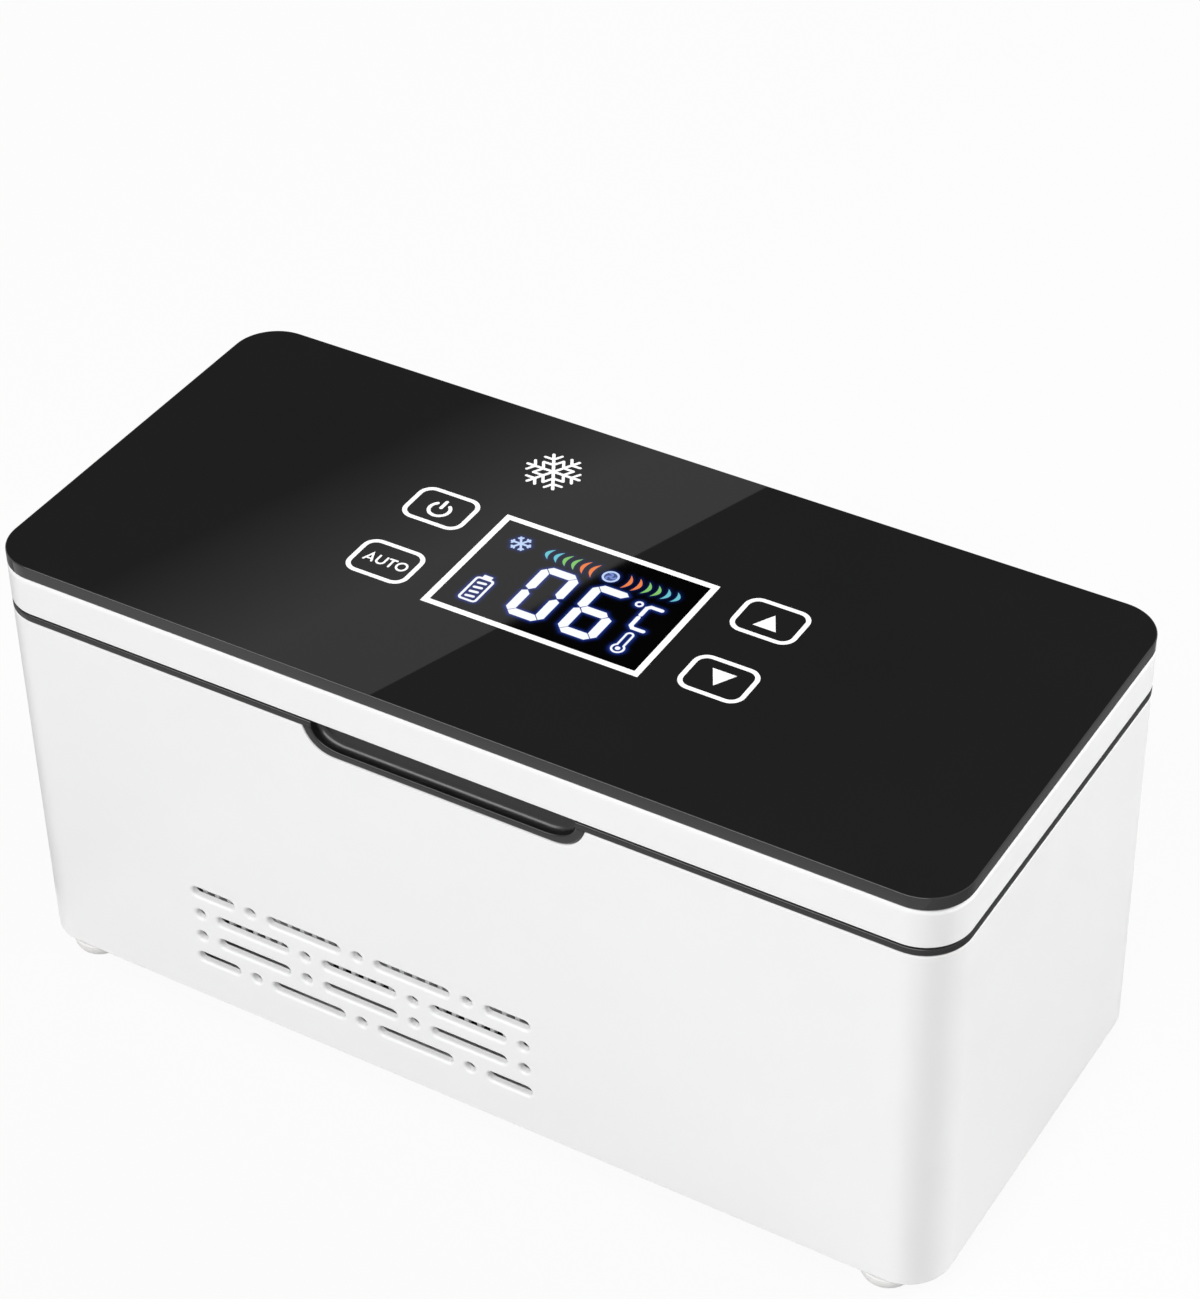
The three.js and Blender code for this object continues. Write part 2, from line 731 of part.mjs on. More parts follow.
function topFrame() {
  const rim = loft([
    outline(zShellTop + seam),
    outline(zRimTop - edgeSoftening),
    outline(zRimTop, edgeSoftening),
  ]);
  // Under the rim: the well round the recess, a rib inside the shell, the hinge block and the scoop's tongue
  const zJoin = zShellTop + 2 * seam;
  const inShell = (inset, z0, z1) =>
    slab(innerLength - 2 * inset, innerWidth - 2 * inset, innerCorner - inset, z0, z1);
  const well = slab(recessLength + 2 * wellWall, recessWidth + 2 * wellWall, wellCorner + wellWall,
    zFrameUnder, zJoin, wellY);
  const zRib = zShellTop - ribDepth;
  const rib = inShell(fit, zRib, zJoin).subtract(inShell(fit + ribWall, zRib - past, zShellTop));
  const wellBack = recessBack - wellWall / 2;
  const block = box(-recessLength / 2, recessLength / 2, wellBack, back, zFrameUnder, zJoin);
  const barrelHalf = rebateHalf - fit;
  const barrelBack = innerWidth / 2 + hingeRebate - fit;
  const barrel = box(-barrelHalf, barrelHalf, wellBack, barrelBack, zAxis - rebateDepth + fit, zJoin);
  const tongue = throughY(tongueShape(0, zJoin), front, front + tongueThickness);
  let frame = join(rim, rib, well, block.intersect(inShell(fit, zFrameUnder, zRimTop)), barrel, tongue);
  // The recess for the plug and the funnel into the tray
  const mouth = (z, grow) =>
    ring(recessLength + 2 * grow, recessWidth + 2 * grow, wellCorner + grow, z, wellY);
  const recess = loft([mouth(zLedge, 0), mouth(zRimTop - rimBevel, 0), mouth(zRimTop + seam, rimBevel)]);
  const neck = trayWall + fit;
  const throat = (z, grow) =>
    ring(trayLength + 2 * grow, trayWidth + 2 * grow, trayCorner + grow, z, wellY);
  const funnel = loft([
    throat(zFrameUnder - past, neck),
    throat(zTrayRim, neck),
    throat(zLedge, neck + funnelRun),
    throat(zLedge + seam, neck + funnelRun),
  ]);
  frame = cut(frame, recess, funnel, ...scoopCuts(), plugSweep(), backEdgeCut());
  for (const [x0, x1] of knuckles) {
    const zNotch = zAxis - eyeRadius - fit;
    const notch = box(x0 - fit, x1 + fit, recessBack - wellWall, back, zNotch, zRimTop + past);
    frame = frame.subtract(notch);
  }
  // The bore runs out at the right, where the rod is pushed in
  return frame.subtract(rail(rodRadius + rodClearance, -rodEnd - fit, caseLength / 2, axisY, zAxis));
}

// Inside of the tray, grown outwards and downwards by an offset
function trayRings(grow, zOpen) {
  const rings = [];
  for (let i = 0; i <= filletSteps; i++) {
    const angle = (i / filletSteps) * (Math.PI / 2);
    const inset = trayDraft + trayFillet * (1 - Math.sin(angle)) - grow;
    const z = zTrayFloor - grow + trayFillet * (1 - Math.cos(angle));
    rings.push(ring(trayLength - 2 * inset, trayWidth - 2 * inset, trayCorner, z, wellY));
  }
  rings.push(ring(trayLength + 2 * grow, trayWidth + 2 * grow, trayCorner + grow, zOpen, wellY));
  return rings;
}

function coldTray() {
  return loft(trayRings(trayWall, zTrayRim)).subtract(loft(trayRings(0, zTrayRim + seam)));
}

function foamBlock() {
  const block = slab(innerLength - 2 * fit, innerWidth - 2 * fit, innerCorner - fit,
    zSinkTop + fit, zFrameUnder - fit);
  const cavity = loft(trayRings(trayWall + fit, zTrayRim));
  const window = slab(coldBlockLength + 2 * fit, coldBlockWidth + 2 * fit, coldBlockCorner + fit,
    zSinkTop, zTrayFloor, wellY, coolerX, smallSegments);
  const loose = probeRadius + fit;
  const x0 = probeX - probeLength / 2 - fit;
  const x1 = probeX + probeLength / 2 + fit;
  const pocket = rail(loose, x0, x1, wellY, zProbe);
  const slit = box(x0, x1, wellY - loose, wellY + loose, zProbe, zTrayFloor);
  return cut(block, cavity, window, pocket, slit);
}

function heatSink() {
  const half = finCountEachSide * finPitch + finThickness / 2;
  const shape = new THREE.Shape();
  shape.moveTo(coolerX + half, zSinkUnder);
  shape.lineTo(coolerX + half, zSinkTop);
  shape.lineTo(coolerX - half, zSinkTop);
  for (let i = -finCountEachSide; i <= finCountEachSide; i++) {
    const x = coolerX + i * finPitch;
    shape.lineTo(x - finThickness / 2, zSinkUnder);
    shape.lineTo(x - finThickness / 2, zFins);
    shape.lineTo(x + finThickness / 2, zFins);
    shape.lineTo(x + finThickness / 2, zSinkUnder);
  }
  const depth = innerWidth - 2 * sinkWallGap;
  let sink = throughY([shape], -depth / 2, depth / 2);
  for (const side of [-1, 1]) {
    const x = coolerX + (side * clampSpacing) / 2;
    const hole = post(screwShank + fit, zSinkUnder - past, zSinkTop + past, x, wellY, holeSegments);
    const headRoom = post(screwHead + fit, zFins - past, zSinkUnder, x, wellY, holeSegments);
    sink = cut(sink, hole, headRoom);
  }
  return sink;
}

function coldBlock() {
  const z1 = zColdBlock + coldBlockHeight;
  let block = slab(coldBlockLength, coldBlockWidth, coldBlockCorner, zColdBlock, z1,
    wellY, coolerX, smallSegments);
  for (const side of [-1, 1]) {
    const x = coolerX + (side * clampSpacing) / 2;
    const pilot = post(screwShank + seam, zColdBlock - past, z1 - clampSkin, x, wellY, holeSegments);
    block = block.subtract(pilot);
  }
  return block;
}

// Two ceramic plates with rows of legs between them
function peltierModule() {
  const z0 = zPeltier;
  const z1 = zPeltier + peltierThickness;
  const half = peltierSize / 2;
  const plate = (low, high) => box(coolerX - half, coolerX + half, wellY - half, wellY + half, low, high);
  let module = plate(z0, z0 + peltierPlate).add(plate(z1 - peltierPlate, z1));
  const pitch = peltierSize / peltierLegRows;
  const reach = half - peltierLegMargin;
  for (let i = 0; i < peltierLegRows; i++) {
    const x = coolerX - half + (i + 0.5) * pitch;
    const row = box(x - pitch / 4, x + pitch / 4, wellY - reach, wellY + reach,
      z0 + peltierPlate / 2, z1 - peltierPlate / 2);
    module = module.add(row);
  }
  return module;
}

function fanFrame() {
  const plate = (z0, z1) => slab(fanSize, fanSize, fanCorner, z0, z1, 0, coolerX, smallSegments);
  const tube = post(fanBore + fanRing, zFan, zFanTop, coolerX, 0, boreSegments);
  const bore = post(fanBore, zFan - past, zFanTop + past, coolerX, 0, boreSegments);
  let frame = join(plate(zFan, zFan + fanFlange), plate(zFanTop - fanFlange, zFanTop), tube).subtract(bore);
  const across = fanBore + fanRing / 2;
  const half = strutWidth / 2;
  const zStrut = zFan + strutHeight;
  frame = join(
    frame,
    box(coolerX - across, coolerX + across, -half, half, zFan, zStrut),
    box(coolerX - half, coolerX + half, -across, across, zFan, zStrut),
    post(fanHub, zFan, zStrut, coolerX, 0),
    post(shaftRadius + bearingWall, zFan, zFan + fanDepth / 2, coolerX, 0),
  );
  frame = frame.subtract(post(shaftRadius + fit, zFan + bearingFloor, zFanTop, coolerX, 0));
  for (const [, x, y] of fanHoles) {
    const hole = post(screwShank + fit, zFan - past, zFanTop + past, x, y, holeSegments);
    const headRoom = post(screwHead + fit, zFan + fanFlange, zFanTop + past, x, y, holeSegments);
    frame = cut(frame, hole, headRoom);
  }
  return frame;
}

// One blade as a thin twisted sheet from inside the hub's wall to the tip
function blade(turn) {
  const z0 = zFan + strutHeight + bladeEndGap;
  const z1 = zFanTop - bladeEndGap;
  const root = fanHub - fanHubWall / 2;
  const tip = fanBore - bladeTipGap;
  const sweep = THREE.MathUtils.degToRad(bladeSweep);
  const lean = THREE.MathUtils.degToRad(bladeLean);
  const positions = [];
  for (const side of [-1, 1]) {
    for (let i = 0; i <= bladeAlong; i++) {
      const r = root + (tip - root) * (i / bladeAlong);
      for (let j = 0; j <= bladeAcross; j++) {
        const u = j / bladeAcross;
        const lift = (side * bladeThickness) / 2;
        const angle = turn + sweep * (u - 0.5) + (lean * i) / bladeAlong - lift / r;
        const z = z0 + (z1 - z0) * u + bladeCamber * Math.sin(Math.PI * u) + lift;
        positions.push(coolerX + r * Math.cos(angle), r * Math.sin(angle), z);
      }
    }
  }
  const row = bladeAcross + 1;
  const sheet = (bladeAlong + 1) * row;
  const index = [];
  const quad = (a, b, c, d) => index.push(a, b, c, a, c, d);
  for (let i = 0; i < bladeAlong; i++) {
    for (let j = 0; j < bladeAcross; j++) {
      const a = i * row + j;
      quad(a, a + 1, a + row + 1, a + row);
      quad(sheet + a, sheet + a + row, sheet + a + row + 1, sheet + a + 1);
    }
    const lead = i * row;
    const trail = lead + bladeAcross;
    quad(lead, lead + row, sheet + lead + row, sheet + lead);
    quad(trail, sheet + trail, sheet + trail + row, trail + row);
  }
  for (let j = 0; j < bladeAcross; j++) {
    const outer = bladeAlong * row + j;
    quad(j, sheet + j, sheet + j + 1, j + 1);
    quad(outer, outer + 1, sheet + outer + 1, sheet + outer);
  }
  const geometry = new THREE.BufferGeometry();
  geometry.setAttribute("position", new THREE.Float32BufferAttribute(positions, 3));
  geometry.setIndex(index);
  return solid(geometry);
}

// Hub cup with its shaft and blades
function fanRotor() {
  const z0 = zFan + strutHeight + fit;
  const zRoof = zFanTop - fanHubGap;
  const hub = post(fanHub, z0, zRoof, coolerX, 0);
  const hollow = post(fanHub - fanHubWall, z0 - past, zRoof - fanHubRoof, coolerX, 0);
  const shaft = post(shaftRadius, zFan + bearingFloor + fit, zRoof - fanHubRoof / 2, coolerX, 0);
  let rotor = hub;
  for (let i = 0; i < bladeCount; i++) rotor = rotor.add(blade((i * 2 * Math.PI) / bladeCount));
  return rotor.subtract(hollow).add(shaft);
}

// Cell along Z, with its button at the top
function batteryCell() {
  const half = cellLength / 2;
  return turned([
    [0, -half],
    [cellRadius - cellEdge, -half],
    [cellRadius, -half + cellEdge],
    [cellRadius, half - cellEdge],
    [cellRadius - cellEdge, half],
    [cellButton, half],
    [cellButton, half + cellButtonHeight],
    [0, half + cellButtonHeight],
  ]);
}

// Place of each cell across the cradle
const cellX = (i) => batteryX + (i - (cellCount - 1) / 2) * cellPitch;

// Scalloped cradle whose posts carry the main board
function batteryCradle() {
  const z0 = zBaseTop + seam;
  const inside = cradleHalfY - cradleEnd;
  let cradle = box(batteryX - cradleHalfX, batteryX + cradleHalfX, -cradleHalfY, cradleHalfY,
    z0, z0 + cradleHeight);
  for (let i = 0; i < cellCount; i++) {
    cradle = cradle.subtract(spigot(cellRadius + fit, -inside, inside, cellX(i), zCells));
  }
  for (const [, x, y] of boardPosts) {
    const stand = post(postRadius, z0, zBoard - seam, x, y, holeSegments);
    const pilot = post(lidScrewShank + seam, zBoard - boardPilot, zBoard, x, y, holeSegments);
    cradle = cradle.add(stand).subtract(pilot);
  }
  return cradle;
}

// Board with its coil, capacitors, two chips and a plug housing, all in front of the socket
function mainBoard() {
  const z0 = zBoardTop - seam;
  const rowY = boardFront + cradleHalfX / 2;
  const chip = (x, y) => box(x, x + chipSide, y, y + chipSide, z0, zBoardTop + chipHeight);
  const plugX = batteryX + cradleHalfX / 2;
  let board = join(
    box(batteryX - cradleHalfX, batteryX + cradleHalfX, boardFront, boardBack, zBoard, zBoardTop),
    post(coilRadius, z0, zBoardTop + coilHeight, batteryX - cradleHalfX / 2, rowY),
    post(capacitorRadius, z0, zBoardTop + capacitorHeight, batteryX, rowY),
    post(capacitorRadius, z0, zBoardTop + capacitorHeight, batteryX + capacitorPitch, rowY),
    chip(batteryX - cradleHalfX / 2, 0),
    chip(batteryX + cradleHalfX / 4, 0),
    box(plugX, plugX + plugHousingLength, rowY, rowY + plugHousingWidth, z0, zBoardTop + plugHousingHeight),
  );
  for (const [, x, y] of boardPosts) {
    board = board.subtract(post(lidScrewShank + fit, zBoard - past, zBoardTop + past, x, y, holeSegments));
  }
  return board;
}

function dcSocket() {
  const wall = innerWidth / 2 - fit;
  const z0 = zSocket - socketHeight / 2;
  const half = socketWidth / 2;
  const zone = box(socketX - half, socketX + half, wall - socketLength, wall, z0, z0 + socketHeight);
  const snout = spigot(socketSnout, wall - past, back - fit, socketX, zSocket);
  const bore = spigot(socketBore, back - socketBoreDepth, back + past, socketX, zSocket);
  const pinRoot = back - socketBoreDepth - past;
  const pin = spigot(socketPin, pinRoot, back - socketPinDrop, socketX, zSocket, holeSegments);
  return join(zone, snout).subtract(bore).add(pin);
}

function lidShell() {
  const outer = loft([
    outline(zLidUnder, edgeSoftening),
    outline(zLidUnder + edgeSoftening),
    outline(zGlass - seam),
  ]);
  const inside = loft([outline(zLidUnder + lidFlange, lidWall), outline(zTop, lidWall)]);
  const opening = slab(plugLength + 2 * fit, plugWidth + 2 * fit, plugCorner + fit,
    zLidUnder - past, zTop, wellY);
  let shell = cut(outer, inside, opening);
  const zPilot = zLinerRim + linerRim - lidScrewLength - seam;
  for (const [, x, y] of lidScrews) {
    shell = shell.subtract(post(lidScrewShank + seam, zPilot, zTop, x, y, holeSegments));
  }
  return shell;
}

// Rounded outline round the tray mouth at a given distance from it
function roundMouth(grow, z0, z1, taper = 0) {
  return loft(
    [
      [z0, grow - taper],
      [z1, grow],
    ].map(([z, g]) => ring(trayLength + 2 * g, trayWidth + 2 * g, trayCorner + g, z, wellY)),
  );
}

function lidLiner() {
  const zRimEnd = zLinerRim + linerRim;
  const plug = slab(plugLength, plugWidth, plugCorner, zPlugUnder, zRimEnd, wellY);
  const rim = slab(linerLength, linerWidth, linerCorner, zLinerRim, zRimEnd, 0, 0, cornerSegments);
  const inside = slab(plugLength - 2 * linerWall, plugWidth - 2 * linerWall, plugCorner - linerWall,
    zPlugUnder + plugFloor, zTop, wellY);
  const groove = roundMouth(gasketOuter + seam, zPlugUnder - past, zPlugUnder + gasketGroove).subtract(
    roundMouth(gasketInner - seam, zPlugUnder - 2 * past, zPlugUnder + 2 * past),
  );
  const zPlateau = zPlugUnder - plateauRise;
  const plateau = roundMouth(gasketInner - fit, zPlateau, zPlugUnder + seam, edgeSoftening);
  const zPanelTop = zPlateau + panelRecess + panelThickness + seam;
  const panelPocket = roundMouth(gasketInner - fit - borderWidth, zPlateau - past, zPanelTop);
  let liner = cut(join(plug, rim, plateau), inside, groove, panelPocket);
  for (const [x0, x1] of knuckles) {
    const web = box(x0, x1, plugBack - linerWall / 2, axisY, zAxis - lugBelow, zAxis + lugAbove);
    const eye = rail(eyeRadius, x0, x1, axisY, zAxis);
    liner = join(liner, web, eye);
  }
  liner = liner.subtract(rail(rodRadius + rodClearance, -rodEnd, rodEnd, axisY, zAxis));
  for (const [, x, y] of lidScrews) {
    liner = liner.subtract(post(lidScrewShank + fit, zLinerRim - past, zRimEnd + past, x, y, holeSegments));
  }
  return liner;
}

function lidGasket() {
  const z0 = zLedge + fit;
  const z1 = zPlugUnder + gasketGroove - seam;
  const outer = roundMouth(gasketOuter, z0, z1, edgeSoftening);
  const inner = roundMouth(gasketInner, z0 - seam, z1 + seam, -edgeSoftening);
  return outer.subtract(inner);
}

function lidPanel() {
  const z0 = zPlugUnder - plateauRise + panelRecess;
  return roundMouth(gasketInner - 2 * fit - borderWidth, z0, z0 + panelThickness);
}

function lidFoam() {
  const inset = linerWall + fit;
  return slab(plugLength - 2 * inset, plugWidth - 2 * inset, plugCorner - inset,
    zPlugUnder + plugFloor + seam, zTouchBoard - seam, wellY);
}

function glassPanel() {
  return loft([outline(zGlass), outline(zTop - glassEdge), outline(zTop, glassEdge)]);
}

function displayModule() {
  const z1 = zDisplay + displayThickness;
  const block = slab(displayLength, displayWidth, displayBezel, zDisplay, z1,
    displayY, displayX, smallSegments);
  const dip = slab(displayLength - 2 * displayBezel, displayWidth - 2 * displayBezel, displayBezel / 2,
    z1 - displayDip, zTop, displayY, displayX, smallSegments);
  return block.subtract(dip);
}

function touchBoard() {
  const x = (keyLeftX + keyRightX) / 2;
  const touchBoardLength = keyRightX - keyLeftX + 2 * touchBoardMargin;
  return slab(touchBoardLength, touchBoardWidth, boardCorner, zTouchBoard, zTouchBoard + boardThickness,
    displayY, x, smallSegments);
}

// Body of the case
piece(coolingCase, "body_shell", bodyShell(), whitePlastic);
piece(coolingCase, "base_cover", baseCover(), whitePlastic);
piece(coolingCase, "top_frame", topFrame(), blackPlastic);
piece(coolingCase, "cold_tray", coldTray(), aluminium);
piece(coolingCase, "foam_block", foamBlock(), foam);
piece(coolingCase, "cold_block", coldBlock(), aluminium);
piece(coolingCase, "peltier_module", peltierModule(), ceramic);
piece(coolingCase, "heat_sink", heatSink(), aluminium);
piece(coolingCase, "fan_frame", fanFrame(), blackPlastic);
piece(coolingCase, "battery_cradle", batteryCradle(), blackPlastic);
piece(coolingCase, "main_board", mainBoard(), boardGreen);
piece(coolingCase, "dc_socket", dcSocket(), blackPlastic);
const probe = rail(probeRadius, probeX - probeLength / 2, probeX + probeLength / 2, wellY, zProbe);
piece(coolingCase, "temperature_probe", probe, steel);
piece(coolingCase, "hinge_rod", rail(rodRadius, -rodEnd, rodEnd, axisY, zAxis), steel);
for (let i = 0; i < cellCount; i++) {
  const tilt = (i % 2 ? 1 : -1) * (Math.PI / 2);
  piece(coolingCase, "battery_cell_" + (i + 1), batteryCell(), cellWrap, [cellX(i), 0, zCells], tilt);
}
for (const [where, sx, sy] of quarters) {
  piece(coolingCase, "foot_" + where, foot(), softRubber, [sx * footX, sy * footY, 0]);
}

// The fan's turning part
const fan = new THREE.Group();
coolingCase.add(fan);
piece(fan, "fan_rotor", fanRotor(), blackPlastic);

// Screws with their heads down: through the base, and up through the heat sink into the cold block
const sunkHead = screwHeadHeight - 2 * seam;
for (const [where, sx, sy] of quarters) {
  const plain = screw(screwHead, sunkHead, screwShank, screwLength, screwSegments);
  const body = plain.subtract(crossRecess(sunkHead));
  const place = [sx * bossX, sy * bossY, zBottom + screwHeadHeight - seam];
  piece(coolingCase, "base_screw_" + where, body, steel, place);
}
const clampLength = zColdBlock + coldBlockHeight - 2 * clampSkin - zSinkUnder;
for (const [where, side] of [["left", -1], ["right", 1]]) {
  const body = screw(screwHead, screwHeadHeight, screwShank, clampLength);
  const place = [coolerX + (side * clampSpacing) / 2, wellY, zSinkUnder - seam];
  piece(coolingCase, "clamp_screw_" + where, body, steel, place);
}

// Screws with their heads up: the fan's, the main board's and the lid's
for (const [where, x, y] of fanHoles) {
  const body = screw(screwHead, screwHeadHeight, screwShank, fanFlange + fanPostHeight);
  piece(coolingCase, "fan_screw_" + where, body, steel, [x, y, zFan + fanFlange + seam], Math.PI);
}
for (const [where, x, y] of boardPosts) {
  const body = screw(lidScrewHead, lidScrewHeadHeight, lidScrewShank, boardThickness + boardScrewReach);
  piece(coolingCase, "board_screw_" + where, body, steel, [x, y, zBoardTop + seam], Math.PI);
}
for (const [where, x, y] of lidScrews) {
  const body = screw(lidScrewHead, lidScrewHeadHeight, lidScrewShank, lidScrewLength);
  piece(lid, "lid_screw_" + where, body, steel, [x, y, zLinerRim + linerRim + seam], Math.PI);
}

// Lid
piece(lid, "lid_shell", lidShell(), whitePlastic);
piece(lid, "lid_liner", lidLiner(), whitePlastic);
piece(lid, "lid_gasket", lidGasket(), blackRubber);
piece(lid, "lid_inner_panel", lidPanel(), greyPanel);
piece(lid, "lid_foam", lidFoam(), foam);
piece(lid, "touch_board", touchBoard(), boardGreen);
piece(lid, "display_module", displayModule(), blackPlastic);
piece(lid, "glass_panel", glassPanel(), blackGlass);
for (const [name, x, y] of keys) {
  piece(lid, name, post(keyPadRadius, zDisplay, zGlass - seam, x, y), copper);
}

export default coolingCase;
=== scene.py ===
"""Looks of the insulin cooling case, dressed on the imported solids.

Shapes are drawn in millimetres in the part's own frame, and become metres when a mesh is made.
"""

import json
import math

import bmesh
import bpy
import numpy as np
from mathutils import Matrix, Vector

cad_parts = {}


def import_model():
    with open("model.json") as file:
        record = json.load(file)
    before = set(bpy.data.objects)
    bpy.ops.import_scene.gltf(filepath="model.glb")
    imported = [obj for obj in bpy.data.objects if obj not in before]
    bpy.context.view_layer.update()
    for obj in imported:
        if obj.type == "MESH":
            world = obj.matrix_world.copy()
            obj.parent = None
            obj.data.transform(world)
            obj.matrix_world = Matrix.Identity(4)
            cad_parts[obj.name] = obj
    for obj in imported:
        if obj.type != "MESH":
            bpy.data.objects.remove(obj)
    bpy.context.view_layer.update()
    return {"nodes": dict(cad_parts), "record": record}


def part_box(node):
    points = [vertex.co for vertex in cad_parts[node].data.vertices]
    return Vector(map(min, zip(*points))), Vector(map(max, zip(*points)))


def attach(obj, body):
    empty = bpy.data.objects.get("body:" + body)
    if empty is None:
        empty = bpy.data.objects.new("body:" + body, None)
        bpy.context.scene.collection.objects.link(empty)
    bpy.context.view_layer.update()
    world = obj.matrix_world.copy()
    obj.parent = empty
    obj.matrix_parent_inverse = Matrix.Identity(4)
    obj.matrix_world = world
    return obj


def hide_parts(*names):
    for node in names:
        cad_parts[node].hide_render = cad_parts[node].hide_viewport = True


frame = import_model()

MM = 0.001

# Case in plan
LENGTH = 204.0
WIDTH = 92.0
CORNER = 9.3
FRONT = -WIDTH / 2
BACK = WIDTH / 2
WALL = 2.0
FIT = 0.3
SEAM = 0.1
PAST = 1.0

# Heights
Z_BOTTOM = 3.3
Z_BASE_TOP = 5.5
Z_TRAY_FLOOR = 50.3
Z_FRAME_UNDER = 75.2
Z_TRAY_RIM = 75.5
Z_LEDGE = 77.4
Z_PLUG = 79.9
Z_SHELL_TOP = 86.0
Z_RIM_TOP = 87.6
Z_LID = 87.9
Z_FLANGE = 89.9
Z_LINER_RIM = 90.0
Z_GLASS = 96.5
Z_TOP = 99.4

# Recess and tray
WELL_Y = -1.25
RECESS = (188.0, 79.4, 7.0)
TRAY = (163.0, 53.0, 6.0)
TRAY_WALL = 0.8
TRAY_DRAFT = 3.0
TRAY_FILLET = 4.0
NECK = TRAY_WALL + FIT
FUNNEL_RUN = 0.9
RECESS_BACK = WELL_Y + RECESS[1] / 2

# Hinge
ROD = 1.0
ROD_END = 75.0
ROD_EDGE = 0.3
ROD_PLAY = 0.2
AXIS_Y = 42.2
AXIS_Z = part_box("hinge_rod")[0].z / MM + ROD
BARREL = 3.75
EYE = 2.2
OPEN_TURN = math.radians(100)
KNUCKLES = ((-71.0, -15.0), (19.0, 71.0))
EDGE_REACH = Z_LID - AXIS_Z - FIT
HINGE_POCKET = 88.0
POCKET_DROP = 4.0
POCKET_WALL = 1.0
BACK_BLOCK = 91.0
FAR = 20.0

# Scoop
TONGUE_TOP = 30.2
TONGUE_BOTTOM = 28.0
TONGUE_HEIGHT = 6.6
TONGUE_CORNER = 4.5
TONGUE_DEPTH = 4.0
SCOOP_RISE = 1.55
SCOOP_SIDE = 1.9
SCOOP_DEPTH = 1.95
SCOOP_FILLET = 1.2
SCOOP_LEAN = 0.22
SCOOP_PULL = 1.0

# Grille
GRILLE_X = -22.0
GRILLE_LENGTH = 78.0
ROW_LOW = 10.8
ROW_PITCH = 5.8
ROWS = tuple(Z_BOTTOM + ROW_LOW + ROW_PITCH * row for row in range(4))
SLOT_RADIUS = 1.15
SLOT_FLARE = 0.7
SLOT_LENGTH = 17.0
SLOT_PERIOD = 25.0
DOT_OFFSET = 21.0
SHORTEST_SLOT = 4.2
FLARE = 0.35
GRILLE_WALL = 1.65
GRILLE_MARGIN = 2.6

# Feet, screws and socket
CORNERS = {"rear_right": (1, 1), "rear_left": (-1, 1), "front_right": (1, -1), "front_left": (-1, -1)}
FOOT_X = 91.0
FOOT_Y = 40.5
FOOT_HEIGHT = 3.0
BOSS_X = 96.4
BOSS_Y = 25.0
BOSS = 4.0
BOSS_ENDS = (5.6, 16.6)
PILOT = 1.3
PILOT_ENDS = (4.6, 14.6)
SCREW_SEAT = Z_BOTTOM + 1.5
SOCKET = (50.0, 33.0)
SOCKET_HOLE = 4.2
SOCKET_ROOT = 20.0

# Air intake in the base
INTAKE = 28.4
INTAKE_MARGIN = 2.0
FAN_HOLE = 25.0
STANDOFF = 3.4
STANDOFF_HEIGHT = 2.0

# Facets
CORNER_STEPS = 16
ROUND_STEPS = 40
SCREW_STEPS = 28
ROD_STEPS = 24
FILLET_STEPS = 6
BLEND_STEPS = 8
LIP_STEPS = 4
FLARE_STEPS = 3
ARC_STEPS = 12

# Distances in metres at which points become one
SOLID_WELD = 1e-8
PLATE_WELD = 1e-7
CAD_WELD = 2e-6


# Meshes

def add(name, data):
    """New object in the scene."""
    obj = bpy.data.objects.new(name, data)
    bpy.context.scene.collection.objects.link(obj)
    return obj


def make(name, vertices, faces):
    mesh = bpy.data.meshes.new(name)
    mesh.from_pydata([tuple(c * MM for c in v) for v in vertices], [], faces)
    obj = add(name, mesh)
    bm = bmesh.new()
    bm.from_mesh(mesh)
    bmesh.ops.remove_doubles(bm, verts=bm.verts, dist=SOLID_WELD)
    bmesh.ops.recalc_face_normals(bm, faces=bm.faces)
    bm.to_mesh(mesh)
    bm.free()
    return obj


def loft(name, rings, closed=False):
    """Body through rings of equal count: a closed loft goes round to its first ring, others get end caps."""
    count = len(rings[0])
    faces = []
    spans = len(rings) if closed else len(rings) - 1
    for level in range(spans):
        low = level * count
        high = ((level + 1) % len(rings)) * count
        for i in range(count):
            j = (i + 1) % count
            faces.append((low + i, low + j, high + j, high + i))
    if not closed:
        last = (len(rings) - 1) * count
        faces.append(tuple(range(count)))
        faces.append(tuple(range(last, last + count)))
    return make(name, [p for ring_points in rings for p in ring_points], faces)


def ring(length, width, radius, z, y=0.0, x=0.0, steps=CORNER_STEPS):
    points = []
    for corner, (sx, sy) in enumerate(((1, 1), (-1, 1), (-1, -1), (1, -1))):
        for i in range(steps + 1):
            a = (corner + i / steps) * math.pi / 2
            points.append((x + sx * (length / 2 - radius) + radius * math.cos(a),
                           y + sy * (width / 2 - radius) + radius * math.sin(a), z))
    return points


def outline(z, inset=0.0):
    return ring(LENGTH - 2 * inset, WIDTH - 2 * inset, CORNER - inset, z)


def mouth(size, grow, z):
    return ring(size[0] + 2 * grow, size[1] + 2 * grow, size[2] + grow, z, WELL_Y)


def quarter(steps=FILLET_STEPS):
    """Sine and cosine along a quarter turn."""
    turns = [i / steps * math.pi / 2 for i in range(steps + 1)]
    return [(math.sin(a), math.cos(a)) for a in turns]


def lathe(name, profile, origin, axis="Z", steps=ROUND_STEPS):
    """Body of revolution from (radius, height) pairs about an axis through origin."""
    rings = []
    for radius, height in profile:
        points = []
        for i in range(steps):
            a = 2 * math.pi * i / steps
            u = radius * math.cos(a)
            v = radius * math.sin(a)
            offset = {"Z": (u, v, height), "X": (height, u, v), "Y": (v, height, u)}[axis]
            points.append(tuple(o + d for o, d in zip(origin, offset)))
        rings.append(points)
    return loft(name, rings)


